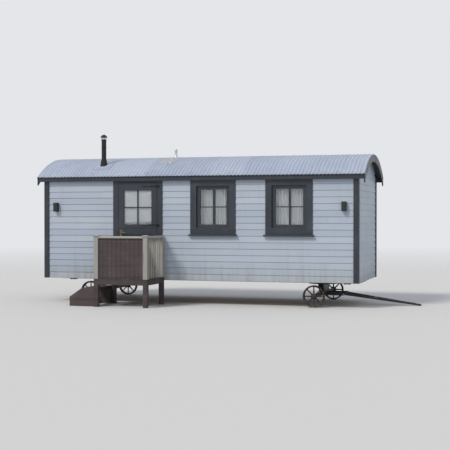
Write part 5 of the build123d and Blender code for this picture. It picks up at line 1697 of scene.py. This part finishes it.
def make_landing():
    """Posts and bearers, deck boards, the boarded front on its ledges, rails with newels, and open steps."""
    for node, name, ease in (
            ("landing_frame", "landing_bearers", 0.003), ("landing_deck", "landing_boards", 0.003),
            ("landing_panel", "panel_boards", 0.002), ("step_strings", "stair_strings", 0.003),
            ("step_treads", "tread_boards", 0.004)):
        eased_node(node, "hut", "landing_wood", ease, name)
    screws = []
    for low, high in solids("landing_deck"):
        for x in (low.x + 0.045, (low.x + high.x) / 2, high.x - 0.045):
            for share in (0.28, 0.72):
                screws.append(((x, low.y + share * (high.y - low.y), high.z), (0, 0, 1)))
    for low, high in solids("step_treads"):
        for y in (low.y + 0.022, high.y - 0.022):
            for share in (0.3, 0.7):
                screws.append(((low.x + share * (high.x - low.x), y, high.z), (0, 0, 1)))
    low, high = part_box("landing_panel")
    boards = round((high.x - low.x) / panel_pitch)
    for z in (low.z + 0.065, high.z - 0.065):
        for k in range(boards):
            screws.append(((low.x + (k + 0.5) * (high.x - low.x) / boards, low.y, z), (0, -1, 0)))
    fasteners("landing_screws", screws, nail_head, "hut", "handle_steel")
    posts = Form()
    for low, high in solids("newels"):
        if high.x - low.x > 0.1:
            shaft, moulding = 0.020, 0.012
            cap_z, slope_z = high.z - 0.024, high.z - 0.012
            posts.block((low.x + shaft, low.y + shaft, low.z), (high.x - shaft, high.y - shaft, cap_z))
            posts.block((low.x + moulding, low.y + moulding, cap_z - 0.014),
                        (high.x - moulding, high.y - moulding, cap_z))
            base = [(low.x, low.y), (high.x, low.y), (high.x, high.y), (low.x, high.y)]
            middle = (low + high) / 2
            peak = [(middle.x + (x - middle.x) * 0.16, middle.y + (y - middle.y) * 0.16) for x, y in base]
            board = posts.new_board()
            posts.prism([(x, y, cap_z) for x, y in base], [(x, y, slope_z) for x, y in base], board)
            posts.prism([(x, y, slope_z) for x, y in base], [(x, y, high.z) for x, y in peak], board)
        else:
            posts.block(low, high)
    made_piece(posts, "newel_posts", "hut", "pale_wood", ["newels"], ease=0.003)
    eased_node("landing_rails", "hut", "pale_wood", 0.008, "rail_caps")
    eased_node("balusters", "hut", "pale_wood", 0.003, "square_balusters")


# Everything in its place
make_walls()
make_corner_boards()
make_roof_sheets()
make_roof_screws()
make_roof_deck()
make_flue_boot()
make_flue_pipe()
make_roof_vent()
make_roof_edges()
make_windows()
make_curtains()
make_door_frame()
make_door_leaves()
make_door_net()
make_hinges()
make_handle()
make_stove()
make_lamps()
make_floor()
make_chassis()
for wheel in ("wheel_front_near", "wheel_front_far", "wheel_rear_near", "wheel_rear_far"):
    make_wheel(wheel)
make_landing()
for node, slot_name in (("window_glass", "window_pane"), ("door_glass", "window_pane"),
                        ("lamp_glasses", "lamp_pane")):
    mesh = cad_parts[node].data
    mesh.materials.clear()
    mesh.materials.append(finishes[slot_name])
for head in (nail_head, bolt_head, coach_head, roof_screw):
    bpy.data.objects.remove(head)


# Floor, light and camera


def make_stage():
    """A plain pale floor that fades into the background far behind the hut, and soft light."""
    mesh = bpy.data.meshes.new("floor")
    radius, corners = 60, 96
    fade_start, fade_end = 14.0, 40.0
    rim = [(radius * cos(tau * k / corners), radius * sin(tau * k / corners), 0.0) for k in range(corners)]
    mesh.from_pydata(rim, [], [tuple(range(corners))])
    floor = bpy.data.objects.new("floor", mesh)
    bpy.context.scene.collection.objects.link(floor)
    made, tree, shader = material("pale_floor")
    feed(tree, shader, {"Base Color": colour("#D5D6D8"), "Roughness": 0.9, "Specular IOR Level": 0.1})
    reach = put(tree, "ShaderNodeVectorMath", {0: object_place(tree)}, operation="LENGTH").outputs["Value"]
    clear = put(tree, "ShaderNodeBsdfTransparent")
    fade = put(tree, "ShaderNodeMixShader", {
        "Fac": (reach, fade_start, fade_end), 1: shader.outputs[0], 2: clear.outputs[0]})
    feed(tree, tree.nodes["Material Output"], {"Surface": fade.outputs[0]})
    mesh.materials.append(made)

    world = bpy.data.worlds.new("studio")
    bpy.context.scene.world = world
    world.use_nodes = True
    tree = world.node_tree
    seen = put(tree, "ShaderNodeBackground", {"Color": colour("#E4E6E9"), "Strength": 1.0})
    lit = tree.nodes["Background"]
    feed(tree, lit, {"Color": colour("#F1F4F8"), "Strength": 0.62})
    path = put(tree, "ShaderNodeLightPath").outputs
    direct = path["Is Camera Ray"]
    for ray in ("Is Glossy Ray", "Is Transmission Ray"):
        direct = put(tree, "ShaderNodeMath", {0: direct, 1: path[ray]}, operation="MAXIMUM").outputs[0]
    mix = put(tree, "ShaderNodeMixShader", {"Fac": direct, 1: lit.outputs[0], 2: seen.outputs[0]})
    feed(tree, tree.nodes["World Output"], {"Surface": mix.outputs[0]})

    lamp = bpy.data.lights.new("soft_sun", "SUN")
    lamp.energy = 1.9
    lamp.angle = radians(16)
    lamp.color = colour("#FFF8EE")[:3]
    sun = bpy.data.objects.new("soft_sun", lamp)
    bpy.context.scene.collection.objects.link(sun)
    sun.rotation_euler = Vector((-0.46, -0.72, 0.86)).to_track_quat("Z", "Y").to_euler()


def make_camera():
    """The photograph's view of the hut, from its front and a little to the right."""
    lens = bpy.data.cameras.new("camera")
    camera = bpy.data.objects.new("camera", lens)
    bpy.context.scene.collection.objects.link(camera)
    middle = Vector((hut_x, hut_y, 0))
    camera.location = middle + camera_place
    camera.rotation_euler = (camera_place - camera_aim).to_track_quat("Z", "Y").to_euler()
    lens.sensor_fit = "HORIZONTAL"
    lens.angle = radians(camera_view)
    lens.clip_end = 200
    bpy.context.scene.camera = camera


make_stage()
make_camera()
bpy.context.scene.view_settings.view_transform = "Standard"
